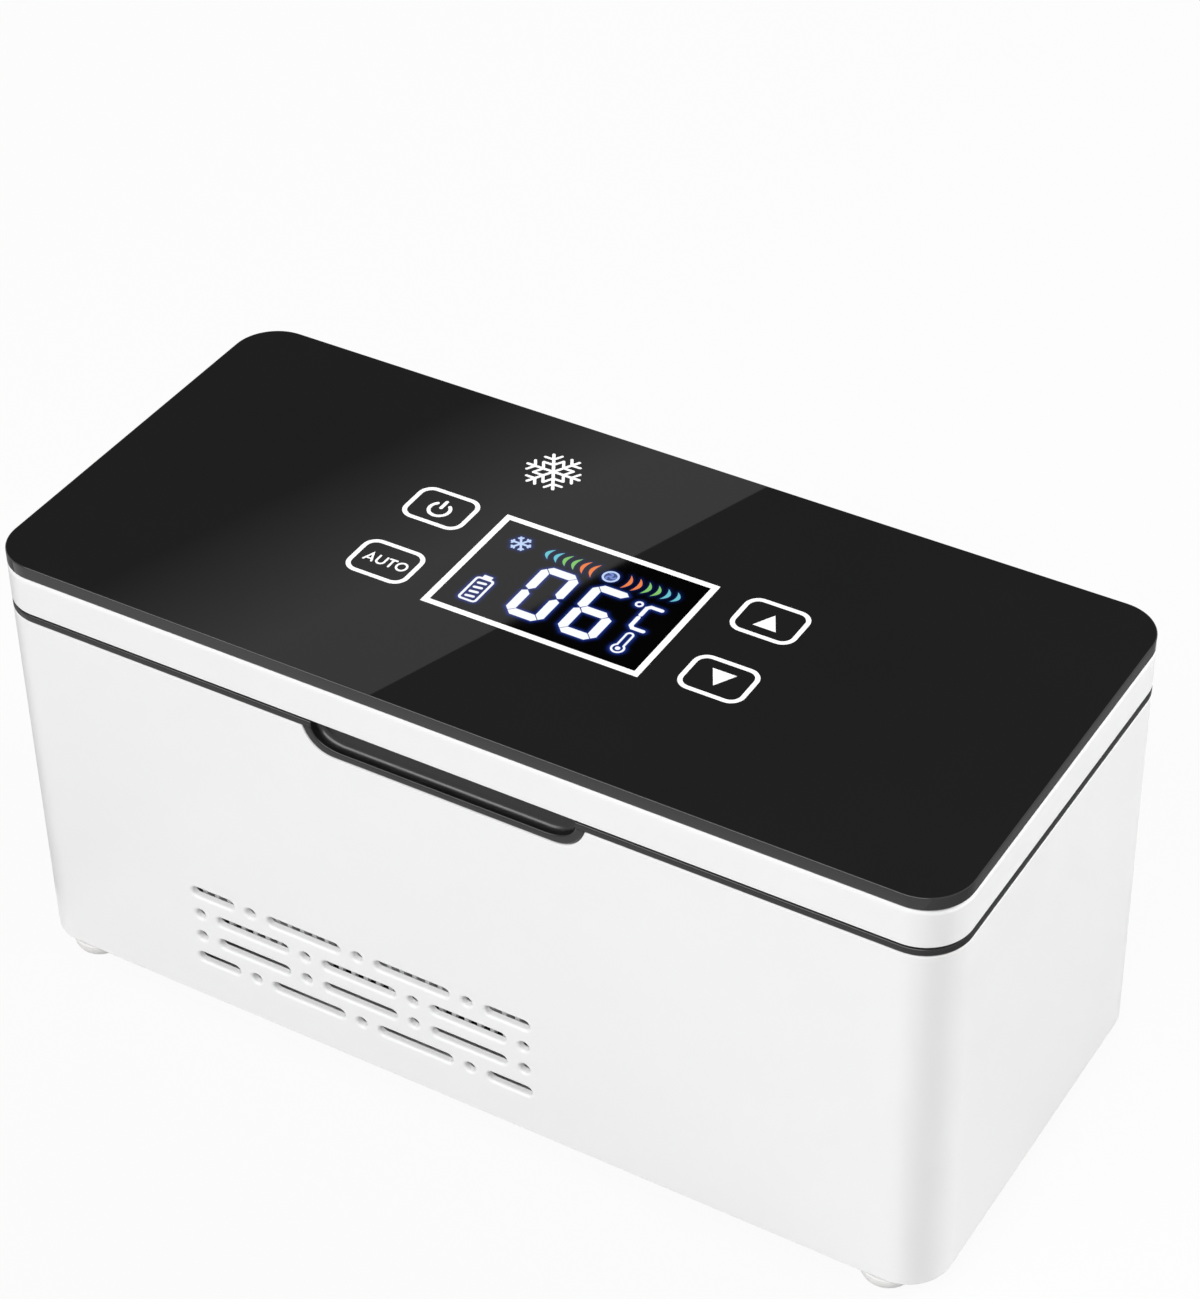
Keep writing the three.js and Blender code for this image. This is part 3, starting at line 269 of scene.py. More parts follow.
def bar(radius, x0, x1):
    """Cylinder about the hinge's axis."""
    return lathe("bar", [(radius, x0), (radius, x1)], (0, AXIS_Y, AXIS_Z), "X")


def peg(radius, low, high, x, y):
    """Upright cylinder."""
    return lathe("peg", [(radius, low), (radius, high)], (x, y, 0))


def box(x0, x1, y0, y1, z0, z1):
    rings = [[(x0, y0, z), (x1, y0, z), (x1, y1, z), (x0, y1, z)] for z in (z0, z1)]
    return loft("box", rings)


def along_x(points, x0, x1):
    return loft("prism", [[(x, y, z) for y, z in points] for x in (x0, x1)])


def boolean(obj, tool, operation="DIFFERENCE"):
    modifier = obj.modifiers.new("boolean", "BOOLEAN")
    modifier.operation = operation
    modifier.solver = "MANIFOLD"
    modifier.object = tool
    settle(obj)
    drop = tool.data
    bpy.data.objects.remove(tool)
    bpy.data.meshes.remove(drop)


def settle(obj):
    """Makes the modifiers' result the object's own mesh."""
    bpy.context.view_layer.update()
    graph = bpy.context.evaluated_depsgraph_get()
    mesh = bpy.data.meshes.new_from_object(obj.evaluated_get(graph))
    old = obj.data
    obj.modifiers.clear()
    obj.data = mesh
    bpy.data.meshes.remove(old)


SHARP_TURN = math.radians(32)
FLAT_TURN = math.radians(11)
FLAT_AREA = 3e-5


def soften(obj):
    """Smooth shading that keeps creases, and keeps large flat faces flat."""
    bm = bmesh.new()
    bm.from_mesh(obj.data)
    for face in bm.faces:
        face.smooth = True
    for edge in bm.edges:
        if len(edge.link_faces) == 2:
            turn = edge.calc_face_angle(0)
            large = max(face.calc_area() for face in edge.link_faces) > FLAT_AREA
            edge.smooth = turn < (FLAT_TURN if large else SHARP_TURN)
    bm.to_mesh(obj.data)
    bm.free()
    modifier = obj.modifiers.new("normals", "WEIGHTED_NORMAL")
    modifier.keep_sharp = True


# Materials

def new_material(name):
    material = bpy.data.materials.new(name)
    material.use_nodes = True
    return material, material.node_tree.nodes, material.node_tree.links


NOISE_LOW = 0.3
NOISE_HIGH = 0.7


def noise(nodes, links, size, detail, stretch):
    """Noise in object space with features of a size in millimetres."""
    place = nodes.new("ShaderNodeTexCoord")
    mapping = nodes.new("ShaderNodeMapping")
    mapping.inputs["Scale"].default_value = stretch
    texture = nodes.new("ShaderNodeTexNoise")
    texture.inputs["Scale"].default_value = 1 / (size * MM)
    texture.inputs["Detail"].default_value = detail
    links.new(place.outputs["Object"], mapping.inputs["Vector"])
    links.new(mapping.outputs["Vector"], texture.inputs["Vector"])
    return texture


def surface(name, dark, light, rough, patch, grain, depth, stretch=(1, 1, 1), **fixed):
    """Shader with mottled colour and roughness and a fine grain, sizes in millimetres."""
    material, nodes, links = new_material(name)
    shader = nodes["Principled BSDF"]
    mottle = noise(nodes, links, patch, 3.0, stretch)
    ramp = nodes.new("ShaderNodeValToRGB")
    ramp.color_ramp.elements[0].position = NOISE_LOW
    ramp.color_ramp.elements[1].position = NOISE_HIGH
    ramp.color_ramp.elements[0].color = (*dark, 1)
    ramp.color_ramp.elements[1].color = (*light, 1)
    links.new(mottle.outputs["Fac"], ramp.inputs["Fac"])
    links.new(ramp.outputs["Color"], shader.inputs["Base Color"])
    spread = nodes.new("ShaderNodeMapRange")
    spread.inputs["From Min"].default_value = NOISE_LOW
    spread.inputs["From Max"].default_value = NOISE_HIGH
    spread.inputs["To Min"].default_value = rough[0]
    spread.inputs["To Max"].default_value = rough[1]
    links.new(mottle.outputs["Fac"], spread.inputs["Value"])
    links.new(spread.outputs["Result"], shader.inputs["Roughness"])
    fine = noise(nodes, links, grain, 2.0, stretch)
    bump = nodes.new("ShaderNodeBump")
    bump.inputs["Distance"].default_value = depth * MM
    links.new(fine.outputs["Fac"], bump.inputs["Height"])
    links.new(bump.outputs["Normal"], shader.inputs["Normal"])
    for socket, value in fixed.items():
        shader.inputs[socket.replace("_", " ")].default_value = value
    return material


def grey(value, warmth=0.0):
    return (value * (1 + warmth), value, value * (1 - warmth))


BRUSHED = (0.02, 1, 1)
LOOKS = {
    "white_plastic": surface("white_plastic", grey(0.868), grey(0.876), (0.3, 0.36), 14, 0.4, 0.003),
    "black_plastic": surface("black_plastic", grey(0.006), grey(0.009), (0.2, 0.27), 4, 0.35, 0.003,
                             Specular_IOR_Level=0.42),
    "black_glass": surface("black_glass", grey(0.0116), grey(0.0124), (0.006, 0.012), 30, 8, 0.0001),
    "foot_rubber": surface("foot_rubber", grey(0.78, 0.01), grey(0.83, 0.01), (0.55, 0.68), 3, 0.3, 0.02),
    "gasket_rubber": surface("gasket_rubber", grey(0.012), grey(0.02), (0.5, 0.62), 3, 0.25, 0.02),
    "grey_panel": surface("grey_panel", grey(0.7), grey(0.73), (0.4, 0.5), 5, 0.5, 0.02),
    "tray_aluminium": surface("tray_aluminium", grey(0.66), grey(0.8), (0.28, 0.42), 0.9, 0.3, 0.01,
                              BRUSHED, Metallic=1.0, Anisotropic=0.5),
    "steel": surface("steel", grey(0.5), grey(0.62), (0.24, 0.36), 0.6, 0.2, 0.006, Metallic=1.0),
    "foam": surface("foam", grey(0.68, 0.04), grey(0.8, 0.04), (0.85, 0.95), 1.6, 0.7, 0.25),
    "ceramic": surface("ceramic", grey(0.78, 0.02), grey(0.84, 0.02), (0.42, 0.55), 2, 0.3, 0.01),
    "circuit_board": surface("circuit_board", (0.012, 0.1, 0.045), (0.03, 0.19, 0.085), (0.3, 0.5),
                             2.4, 0.8, 0.03),
    "cell_wrap": surface("cell_wrap", (0.02, 0.12, 0.34), (0.03, 0.16, 0.42), (0.22, 0.36), 6, 2.0, 0.03),
    "copper": surface("copper", (0.6, 0.3, 0.17), (0.74, 0.42, 0.26), (0.22, 0.38), 0.8, 0.2, 0.006,
                      Metallic=1.0),
}
TRAY_METAL = surface("tray_metal", grey(0.36), grey(0.48), (0.26, 0.4), 0.9, 0.3, 0.01,
                     BRUSHED, Metallic=1.0, Anisotropic=0.5)
FIN_METAL = surface("fin_metal", grey(0.84), grey(0.9), (0.4, 0.55), 0.9, 0.3, 0.01, Metallic=0.25)
PRINT = surface("panel_print", grey(0.93), grey(0.96), (0.1, 0.16), 3, 0.3, 0.001)


def light_ink(name, colour):
    """Lit figure of the display: nearly black under its even glow."""
    material = surface(name, grey(0.02), grey(0.03), (0.08, 0.14), 3, 0.4, 0.0005)
    shader = material.node_tree.nodes["Principled BSDF"]
    shader.inputs["Emission Color"].default_value = (*colour, 1)
    shader.inputs["Emission Strength"].default_value = 1.0
    return material


LIT_WHITE = light_ink("lit_white", (0.95, 0.97, 1.0))
LIT_ICE = light_ink("lit_ice", (0.52, 0.66, 0.95))
LIT_DIM = light_ink("lit_dim", (0.16, 0.24, 0.6))
LIT_DEEP = light_ink("lit_deep", (0.035, 0.06, 0.24))
LIT_CYAN = light_ink("lit_cyan", (0.12, 0.53, 0.62))
LIT_GREEN = light_ink("lit_green", (0.2, 0.55, 0.12))
LIT_ORANGE = light_ink("lit_orange", (0.85, 0.2, 0.035))

for row in frame["record"]["subparts"]:
    for place in frame["nodes"][row["node"]].material_slots:
        place.material = LOOKS[row["material_slot"]]


def dress(obj, name, body, slot, *nodes, look=None):
    """Names a finished piece, gives it its material and body, and lets it stand for CAD nodes."""
    obj.name = name
    obj.data.name = name
    obj.data.materials.clear()
    obj.data.materials.append(look or LOOKS[slot])
    soften(obj)
    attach(obj, body)
    if nodes:
        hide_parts(*nodes)


# White body

def flared(points_at, depth, flare=FLARE, steps=FLARE_STEPS):
    """Rings of a cutting body along Y from outside the front; points_at(grow) is its outline in X and Z."""
    rings = [[(x, FRONT - PAST, z) for x, z in points_at(flare)]]
    for sine, cosine in quarter(steps):
        y = FRONT + flare * (1 - cosine)
        rings.append([(x, y, z) for x, z in points_at(flare * (1 - sine))])
    rings.append([(x, FRONT + depth, z) for x, z in points_at(0)])
    return rings


def turned_round(rings):
    """The same rings turned half a turn about Z, from the front to the back."""
    return [[(-x, -y, z) for x, y, z in points] for points in rings]


def slot_points(x0, x1, z, grow):
    radius = SLOT_RADIUS + grow
    points = []
    for centre, start in ((x1 - SLOT_RADIUS, -0.5), (x0 + SLOT_RADIUS, 0.5)):
        for i in range(ARC_STEPS + 1):
            a = (start + i / ARC_STEPS) * math.pi
            points.append((centre + radius * math.cos(a), z + radius * math.sin(a)))
    return points


def slot_rings(x0, x1, z):
    return flared(lambda grow: slot_points(x0, x1, z, grow), WALL + PAST, SLOT_FLARE, FILLET_STEPS)


def grille_holes():
    """Start and end of every slot and dot, with the height of its row."""
    left = GRILLE_X - GRILLE_LENGTH / 2
    right = GRILLE_X + GRILLE_LENGTH / 2
    holes = []
    for index, z in enumerate(ROWS):
        outer = index in (0, len(ROWS) - 1)
        middle = GRILLE_X - DOT_OFFSET + (0 if outer else SLOT_PERIOD / 2)
        for k in range(-2, 3):
            start = middle + k * SLOT_PERIOD
            x0 = max(start, left)
            x1 = min(start + SLOT_LENGTH, right)
            if x1 - x0 > SHORTEST_SLOT:
                holes.append((x0, x1, z))
            dot = start + DOT_OFFSET
            if left <= dot - SLOT_RADIUS and dot + SLOT_RADIUS <= right:
                holes.append((dot - SLOT_RADIUS, dot + SLOT_RADIUS, z))
    return holes


def curve_points(start, pull, end):
    """Points of a quadratic curve after its start."""
    points = []
    for i in range(1, ARC_STEPS + 1):
        t = i / ARC_STEPS
        points.append(tuple((1 - t) ** 2 * s + 2 * t * (1 - t) * p + t * t * e
                            for s, p, e in zip(start, pull, end)))
    return points


def tongue_points(grow, top):
    half_top = TONGUE_TOP + grow
    half_low = TONGUE_BOTTOM + grow
    low = Z_RIM_TOP - TONGUE_HEIGHT - grow
    rise = Z_SHELL_TOP - low
    run = half_top - half_low
    slant = math.hypot(rise, run)
    knee = (half_low + run / slant * TONGUE_CORNER, low + rise / slant * TONGUE_CORNER)
    right = [(half_low - TONGUE_CORNER, low)]
    right += curve_points(right[0], (half_low, low), knee)
    right += [(half_top, Z_SHELL_TOP), (half_top, top)]
    return right + [(-x, z) for x, z in reversed(right)]


def back_edge():
    """Outside of the circle that the lid's flange sweeps, as a cutting body along X."""
    points = []
    for i in range(ARC_STEPS + 1):
        a = math.pi / 2 * (1 - i / ARC_STEPS)
        points.append((AXIS_Y + EDGE_REACH * math.cos(a), AXIS_Z + EDGE_REACH * math.sin(a)))
    points += [(AXIS_Y + FAR, AXIS_Z), (AXIS_Y + FAR, AXIS_Z + FAR), (AXIS_Y, AXIS_Z + FAR)]
    return along_x(points, -LENGTH, LENGTH)


def notch_points(grow):
    """Outline of the tongue's notch, with half of the usual flare."""
    return tongue_points(FIT - FLARE / 2 + grow / 2, Z_SHELL_TOP + PAST)


def body_shell():
    edge = 0.7
    lip = 0.3
    rings = [outline(Z_BOTTOM + edge * (1 - c), edge * (1 - s)) for s, c in quarter()]
    rings += [outline(Z_SHELL_TOP - lip * (1 - s), lip * (1 - c)) for s, c in quarter()]
    rings += [outline(Z_SHELL_TOP, WALL), outline(Z_BOTTOM, WALL)]
    shell = loft("body_shell_skin", rings, closed=True)
    reach = GRILLE_LENGTH / 2 + GRILLE_MARGIN
    for side in (-1, 1):
        middle = -side * GRILLE_X
        near, far = sorted((side * (BACK - GRILLE_WALL), side * (BACK - WALL - PAST)))
        boolean(shell, box(middle - reach, middle + reach, near, far,
                           ROWS[0] - GRILLE_MARGIN, ROWS[-1] + GRILLE_MARGIN))
    for x0, x1, z in grille_holes():
        boolean(shell, loft("hole", slot_rings(x0, x1, z)))
        boolean(shell, loft("hole", turned_round(slot_rings(-x1, -x0, z))))
    boolean(shell, loft("notch", flared(notch_points, TONGUE_DEPTH)))
    boolean(shell, box(-HINGE_POCKET, HINGE_POCKET, 0, BACK - POCKET_WALL,
                       AXIS_Z - POCKET_DROP, Z_SHELL_TOP + PAST))
    boolean(shell, back_edge())
    hole = [(SOCKET_HOLE, SOCKET_ROOT), (SOCKET_HOLE, BACK - FLARE)]
    hole += [(SOCKET_HOLE + FLARE * (1 - c), BACK - FLARE * (1 - s)) for s, c in quarter(FLARE_STEPS)]
    hole += [(SOCKET_HOLE + FLARE, BACK + PAST)]
    boolean(shell, lathe("socket_hole", hole, (SOCKET[0], 0, SOCKET[1]), "Y"))
    for x in (-BOSS_X, BOSS_X):
        for y in (-BOSS_Y, BOSS_Y):
            boolean(shell, peg(BOSS, *BOSS_ENDS, x, y), "UNION")
            boolean(shell, peg(PILOT, *PILOT_ENDS, x, y))
    dress(shell, "body_shell_skin", "case", "white_plastic", "body_shell")


# Black frame

def scoop_points(inset):
    low = Z_RIM_TOP - TONGUE_HEIGHT + SCOOP_RISE + inset
    half = TONGUE_BOTTOM - SCOOP_SIDE - inset
    half_top = TONGUE_TOP - SCOOP_SIDE - inset
    right = [(half - TONGUE_CORNER, low)]
    right += curve_points(right[0], (half + SCOOP_PULL, low), (half_top, Z_SHELL_TOP))
    right += [(half_top, Z_RIM_TOP + PAST)]
    return right + [(-x, z) for x, z in reversed(right)]


def scoop():
    """Pocket for the fingertips: a rounded lip, a floor and a fillet up to a back wall that leans back."""
    lip = 0.3
    low = Z_RIM_TOP - TONGUE_HEIGHT + SCOOP_RISE
    rings = [[(x, FRONT - PAST, z) for x, z in scoop_points(-lip)]]
    for s, c in quarter(LIP_STEPS):
        rings.append([(x, FRONT + lip * (1 - c), z) for x, z in scoop_points(-lip * (1 - s))])
    deep = FRONT + SCOOP_DEPTH - SCOOP_FILLET
    for s, c in quarter(BLEND_STEPS):
        rings.append([(x, deep + SCOOP_FILLET * s + SCOOP_LEAN * (z - low), z)
                      for x, z in scoop_points(SCOOP_FILLET * (1 - c))])
    return loft("scoop", rings)


def tongue():
    edge = 0.3
    rings = []
    for s, c in quarter(LIP_STEPS):
        points = tongue_points(-edge * (1 - s), Z_SHELL_TOP + 2 * SEAM)
        rings.append([(x, FRONT + edge * (1 - c), z) for x, z in points])
    rings.append([(x, FRONT + TONGUE_DEPTH, z) for x, z in tongue_points(0, Z_SHELL_TOP + 2 * SEAM)])
    return loft("tongue", rings)


def plug_sweep():
    """Room for the plug's back face, which rolls over the barrel and comes to rest leaning back."""
    rest = math.pi - OPEN_TURN
    points = []
    for i in range(ARC_STEPS + 1):
        a = math.pi + (rest - math.pi) * i / ARC_STEPS
        points.append((AXIS_Y + BARREL * math.cos(a), AXIS_Z + BARREL * math.sin(a)))
    leave = points[-1]
    points.append((AXIS_Y + FAR, leave[1] - (AXIS_Y + FAR - leave[0]) / math.tan(rest)))
    inside = RECESS_BACK - RECESS[2]
    points += [(AXIS_Y + FAR, AXIS_Z + FAR), (inside, AXIS_Z + FAR), (inside, AXIS_Z)]
    return along_x(points, -RECESS[0] / 2, RECESS[0] / 2)


def top_frame():
    edge = 0.4
    bevel = 0.9
    fillet = 0.9
    chamfer = 0.2
    wall = 2.0
    funnel = NECK + FUNNEL_RUN
    rings = [outline(Z_SHELL_TOP + SEAM, chamfer), outline(Z_SHELL_TOP + SEAM + chamfer)]
    rings += [outline(Z_RIM_TOP - edge * (1 - s), edge * (1 - c)) for s, c in quarter()]
    rings += [mouth(RECESS, bevel + 0.25, Z_RIM_TOP), mouth(RECESS, bevel - 0.05, Z_RIM_TOP - 0.12)]
    rings += [mouth(RECESS, 0.12, Z_RIM_TOP - bevel + 0.05), mouth(RECESS, 0, Z_RIM_TOP - bevel - 0.2)]
    rings += [mouth(RECESS, -fillet * (1 - c), Z_LEDGE + fillet * (1 - s)) for s, c in quarter()]
    rings += [mouth(TRAY, funnel + 0.3, Z_LEDGE), mouth(TRAY, funnel - 0.1, Z_LEDGE - 0.25)]
    rings += [mouth(TRAY, NECK + 0.1, Z_TRAY_RIM + 0.3), mouth(TRAY, NECK, Z_TRAY_RIM - 0.1)]
    rings += [mouth(TRAY, NECK, Z_FRAME_UNDER), mouth(RECESS, wall, Z_FRAME_UNDER),
              mouth(RECESS, wall, Z_SHELL_TOP + SEAM)]
    body = loft("top_frame_skin", rings, closed=True)
    z_join = Z_SHELL_TOP + 2 * SEAM
    rib_low = 83.0
    rib_out = WALL + FIT
    rib_in = rib_out + 1.6
    rib = [outline(rib_low, rib_out), outline(z_join, rib_out),
           outline(z_join, rib_in), outline(rib_low, rib_in)]
    boolean(body, loft("rib", rib, closed=True), "UNION")
    inside = RECESS_BACK + 1
    boolean(body, box(-BACK_BLOCK, BACK_BLOCK, inside, BACK - WALL - FIT, Z_FRAME_UNDER, z_join), "UNION")
    half = HINGE_POCKET - FIT
    boolean(body, box(-half, half, inside, BACK - POCKET_WALL - FIT,
                      AXIS_Z - POCKET_DROP + FIT, z_join), "UNION")
    boolean(body, tongue(), "UNION")
    boolean(body, scoop())
    boolean(body, plug_sweep())
    boolean(body, back_edge())
    for x0, x1 in KNUCKLES:
        boolean(body, box(x0 - FIT, x1 + FIT, RECESS_BACK - 2, BACK, AXIS_Z - EYE - FIT, Z_RIM_TOP + PAST))
    boolean(body, bar(ROD + ROD_PLAY, -ROD_END - FIT, LENGTH / 2))
    dress(body, "top_frame_skin", "case", "black_plastic", "top_frame")


def cold_tray():
    lip = TRAY_WALL / 2

    def wall(grow):
        rings = []
        for s, c in quarter(BLEND_STEPS):
            inset = TRAY_DRAFT + TRAY_FILLET * (1 - s) - grow
            z = Z_TRAY_FLOOR - grow + TRAY_FILLET * (1 - c)
            rings.append(ring(TRAY[0] - 2 * inset, TRAY[1] - 2 * inset, TRAY[2], z, WELL_Y))
        return rings

    rings = wall(0)
    for i in range(BLEND_STEPS + 1):
        a = math.pi * i / BLEND_STEPS
        rings.append(mouth(TRAY, lip - lip * math.cos(a), Z_TRAY_RIM - lip + lip * math.sin(a)))
    rings += reversed(wall(TRAY_WALL))
    tray = loft("cold_tray_skin", rings)
    dress(tray, "cold_tray_skin", "case", "tray_aluminium", "cold_tray", look=TRAY_METAL)


def feet():
    toe = 4.1
    spread = 1.4
    stem = 2.0
    stem_top = 5.2
    profile = [(3.7, 0.0), (4.0, 0.03)]
    profile += [(toe + spread * s, 0.1 + (FOOT_HEIGHT - 0.3) * (1 - c)) for s, c in quarter(BLEND_STEPS)]
    profile += [(5.35, FOOT_HEIGHT - 0.05), (5.2, FOOT_HEIGHT), (stem, FOOT_HEIGHT), (stem, stem_top),
                (stem - 0.2, stem_top)]
    for where, (sx, sy) in CORNERS.items():
        foot = lathe("foot", profile, (sx * FOOT_X, sy * FOOT_Y, 0))
        dress(foot, "foot_skin_" + where, "case", "foot_rubber", "foot_" + where)


def base_cover():
    edge = 0.3
    size = (LENGTH - 2 * (WALL + FIT), WIDTH - 2 * (WALL + FIT), CORNER - WALL - FIT)
    rings = [ring(size[0] - 2 * edge * (1 - s), size[1] - 2 * edge * (1 - s), size[2] - edge * (1 - s),
                  Z_BOTTOM + edge * (1 - c)) for s, c in quarter(LIP_STEPS)]
    rings.append(ring(*size, Z_BASE_TOP))
    cover = loft("base_cover_skin", rings)
    levels = ((Z_BOTTOM - PAST, edge), (Z_BOTTOM, edge), (Z_BOTTOM + 0.1, 0.1), (Z_BOTTOM + edge, 0),
              (Z_BASE_TOP + PAST, 0))
    for i in range(-4, 5):
        y = i * ROW_PITCH
        half = math.sqrt((INTAKE - INTAKE_MARGIN) ** 2 - y ** 2) - INTAKE_MARGIN
        slot = [[(x, y + v, z) for x, v in slot_points(GRILLE_X - half, GRILLE_X + half, 0, grow)]
                for z, grow in levels]
        boolean(cover, loft("slot", slot))
    head = 2.9
    shank = 1.5
    hole = [(3.2, Z_BOTTOM - PAST), (3.2, Z_BOTTOM), (head, Z_BOTTOM + edge), (head, SCREW_SEAT),
            (shank, SCREW_SEAT), (shank, Z_BASE_TOP + PAST)]
    stem = 2.3
    for sx in (-1, 1):
        for sy in (-1, 1):
            boolean(cover, lathe("screw_hole", hole, (sx * BOSS_X, sy * BOSS_Y, 0)))
            boolean(cover, peg(stem, Z_BOTTOM - PAST, Z_BASE_TOP + PAST, sx * FOOT_X, sy * FOOT_Y))
            x = GRILLE_X + sx * FAN_HOLE
            y = sy * FAN_HOLE
            boolean(cover, peg(STANDOFF, Z_BASE_TOP - SEAM, Z_BASE_TOP + STANDOFF_HEIGHT, x, y), "UNION")
            boolean(cover, peg(PILOT, Z_BOTTOM + 0.8, Z_BASE_TOP + STANDOFF_HEIGHT + PAST, x, y))
    dress(cover, "base_cover_skin", "case", "white_plastic", "base_cover")


def base_screws():
    seat = SCREW_SEAT - SEAM
    head = 2.6
    shank = 1.2
    profile = [(1.9, seat - 1.3), (2.35, seat - 1.2), (2.55, seat - 0.95), (head, seat - 0.6), (head, seat),
               (shank, seat), (shank, seat + 8.4), (0.8, seat + 9)]
    cross = ((1.5, 0.3), (0.3, 1.5))
    for where, (sx, sy) in CORNERS.items():
        x = sx * BOSS_X
        y = sy * BOSS_Y
        screw = lathe("screw", profile, (x, y, 0), steps=SCREW_STEPS)
        for half_x, half_y in cross:
            boolean(screw, box(x - half_x, x + half_x, y - half_y, y + half_y, seat - 2, seat - 0.7))
        dress(screw, "base_screw_skin_" + where, "case", "steel", "base_screw_" + where)


def dc_socket():
    x, z = SOCKET
    wall = BACK - WALL - FIT
    mouth_y = BACK - FIT
    width, depth, corner = 9.0, 13.0, 0.6
    half = 4.5
    edge = 0.2
    levels = ((edge, z - half), (0, z - half + edge), (0, z + half - edge), (edge, z + half))
    rings = [ring(width - 2 * inset, depth - 2 * inset, corner, height, wall - depth / 2, x, LIP_STEPS)
             for inset, height in levels]
    body = loft("socket", rings)
    snout = 3.9
    profile = [(snout, wall - 2), (snout, mouth_y - 0.25), (snout - 0.25, mouth_y)]
    boolean(body, lathe("snout", profile, (x, 0, z), "Y"), "UNION")
    bore = 2.8
    flare = 3.3
    profile = [(bore, BACK - 9.5), (bore, mouth_y - 0.5), (flare, mouth_y + 0.02), (flare, BACK + PAST)]
    boolean(body, lathe("bore", profile, (x, 0, z), "Y"))
    dress(body, "dc_socket_skin", "case", "black_plastic", "dc_socket")
    pin = 1.0
    profile = [(pin, BACK - 10), (pin, BACK - 1.9), (pin - 0.15, BACK - 1.65), (pin / 2, BACK - 1.5)]
    dress(lathe("pin", profile, (x, 0, z), "Y"), "dc_socket_pin", "case", "steel")


# Lid

def lid_shell():
    edge = 0.4
    lip = 1.0
    wall = 2.2
    chamfer = 0.2
    rings = [outline(Z_LID + edge * (1 - c), edge * (1 - s)) for s, c in quarter()]
    rings += [outline(Z_GLASS - SEAM - lip * (1 - s), lip * (1 - c)) for s, c in quarter()]
    rings += [outline(Z_GLASS - SEAM, wall), outline(Z_FLANGE, wall), mouth(RECESS, 0, Z_FLANGE)]
    rings += [mouth(RECESS, 0, Z_LID + chamfer), mouth(RECESS, chamfer, Z_LID)]
    shell = loft("lid_shell_skin", rings, closed=True)
    dress(shell, "lid_shell_skin", "lid", "white_plastic", "lid_shell")


def glass_panel():
    edge = 0.25
    chamfer = 0.3
    rings = [outline(Z_GLASS, chamfer), outline(Z_GLASS + 0.1, 0.1), outline(Z_GLASS + chamfer)]
    rings += [outline(Z_TOP - edge * (1 - s), edge * (1 - c)) for s, c in quarter()]
    dress(loft("glass_panel_skin", rings), "glass_panel_skin", "lid", "black_glass", "glass_panel")


LEDGE_STEP = 0.8
GASKET_WIDTH = 2.4
GASKET_INNER = NECK + FUNNEL_RUN + LEDGE_STEP
GASKET_OUTER = GASKET_INNER + GASKET_WIDTH
BORDER = 5.5
BORDER_RISE = 1.2
PLATEAU = Z_PLUG - BORDER_RISE
SEAL_CORNER = 4.2
SEAL_TURN = 0.4


def seal(grow, z):
    """Ring round the tray's mouth, with the sharper corners of the lid's seal."""
    return ring(TRAY[0] + 2 * grow, TRAY[1] + 2 * grow, SEAL_CORNER + SEAL_TURN * grow, z, WELL_Y)


def lid_liner():
    plug = (RECESS[0] - 2 * FIT, RECESS[1] - 2 * FIT, RECESS[2] - FIT)
    rim_inset = 2.5
    rim = (LENGTH - 2 * rim_inset, WIDTH - 2 * rim_inset, CORNER - rim_inset)
    edge = 1.6
    soft = 0.5
    groove = 0.9
    wall = 1.8
    z_rim_end = Z_LINER_RIM + 1.5
    z_inside = Z_PLUG + 2.2
    z_pocket = PLATEAU + 1.9
    border = GASKET_INNER - FIT
    pocket = border - BORDER
    rings = [seal(pocket, z_pocket), seal(pocket, PLATEAU + soft)]
    rings += [seal(pocket + soft * (1 - c), PLATEAU + soft * (1 - s)) for s, c in quarter(LIP_STEPS)]
    rings += [seal(border - soft * (1 - s), PLATEAU + soft * (1 - c)) for s, c in quarter(LIP_STEPS)]
    rings += [seal(border, Z_PLUG), seal(GASKET_INNER - SEAM, Z_PLUG + 0.02)]
    rings += [seal(GASKET_INNER - SEAM, Z_PLUG + groove), seal(GASKET_OUTER + SEAM, Z_PLUG + groove)]
    rings += [seal(GASKET_OUTER + SEAM, Z_PLUG + 0.2), seal(GASKET_OUTER + 0.35, Z_PLUG)]
    rings += [mouth(plug, -edge * (1 - s), Z_PLUG + edge * (1 - c)) for s, c in quarter()]
    rings += [mouth(plug, 0, Z_LINER_RIM)]
    rings += [ring(*rim, z) for z in (Z_LINER_RIM, z_rim_end)]
    rings += [mouth(plug, -wall, z) for z in (z_rim_end, z_inside)]
    liner = loft("lid_liner_skin", rings)
    chamfer = 0.25
    root = RECESS_BACK - FIT - 0.9
    for x0, x1 in KNUCKLES:
        boolean(liner, box(x0, x1, root, AXIS_Y, AXIS_Z - 1.3, AXIS_Z + 1), "UNION")
        eye = [(EYE - chamfer, x0), (EYE, x0 + chamfer), (EYE, x1 - chamfer), (EYE - chamfer, x1)]
        boolean(liner, lathe("eye", eye, (0, AXIS_Y, AXIS_Z), "X"), "UNION")
    boolean(liner, bar(ROD + ROD_PLAY, -ROD_END, ROD_END))
    dress(liner, "lid_liner_skin", "lid", "white_plastic", "lid_liner")


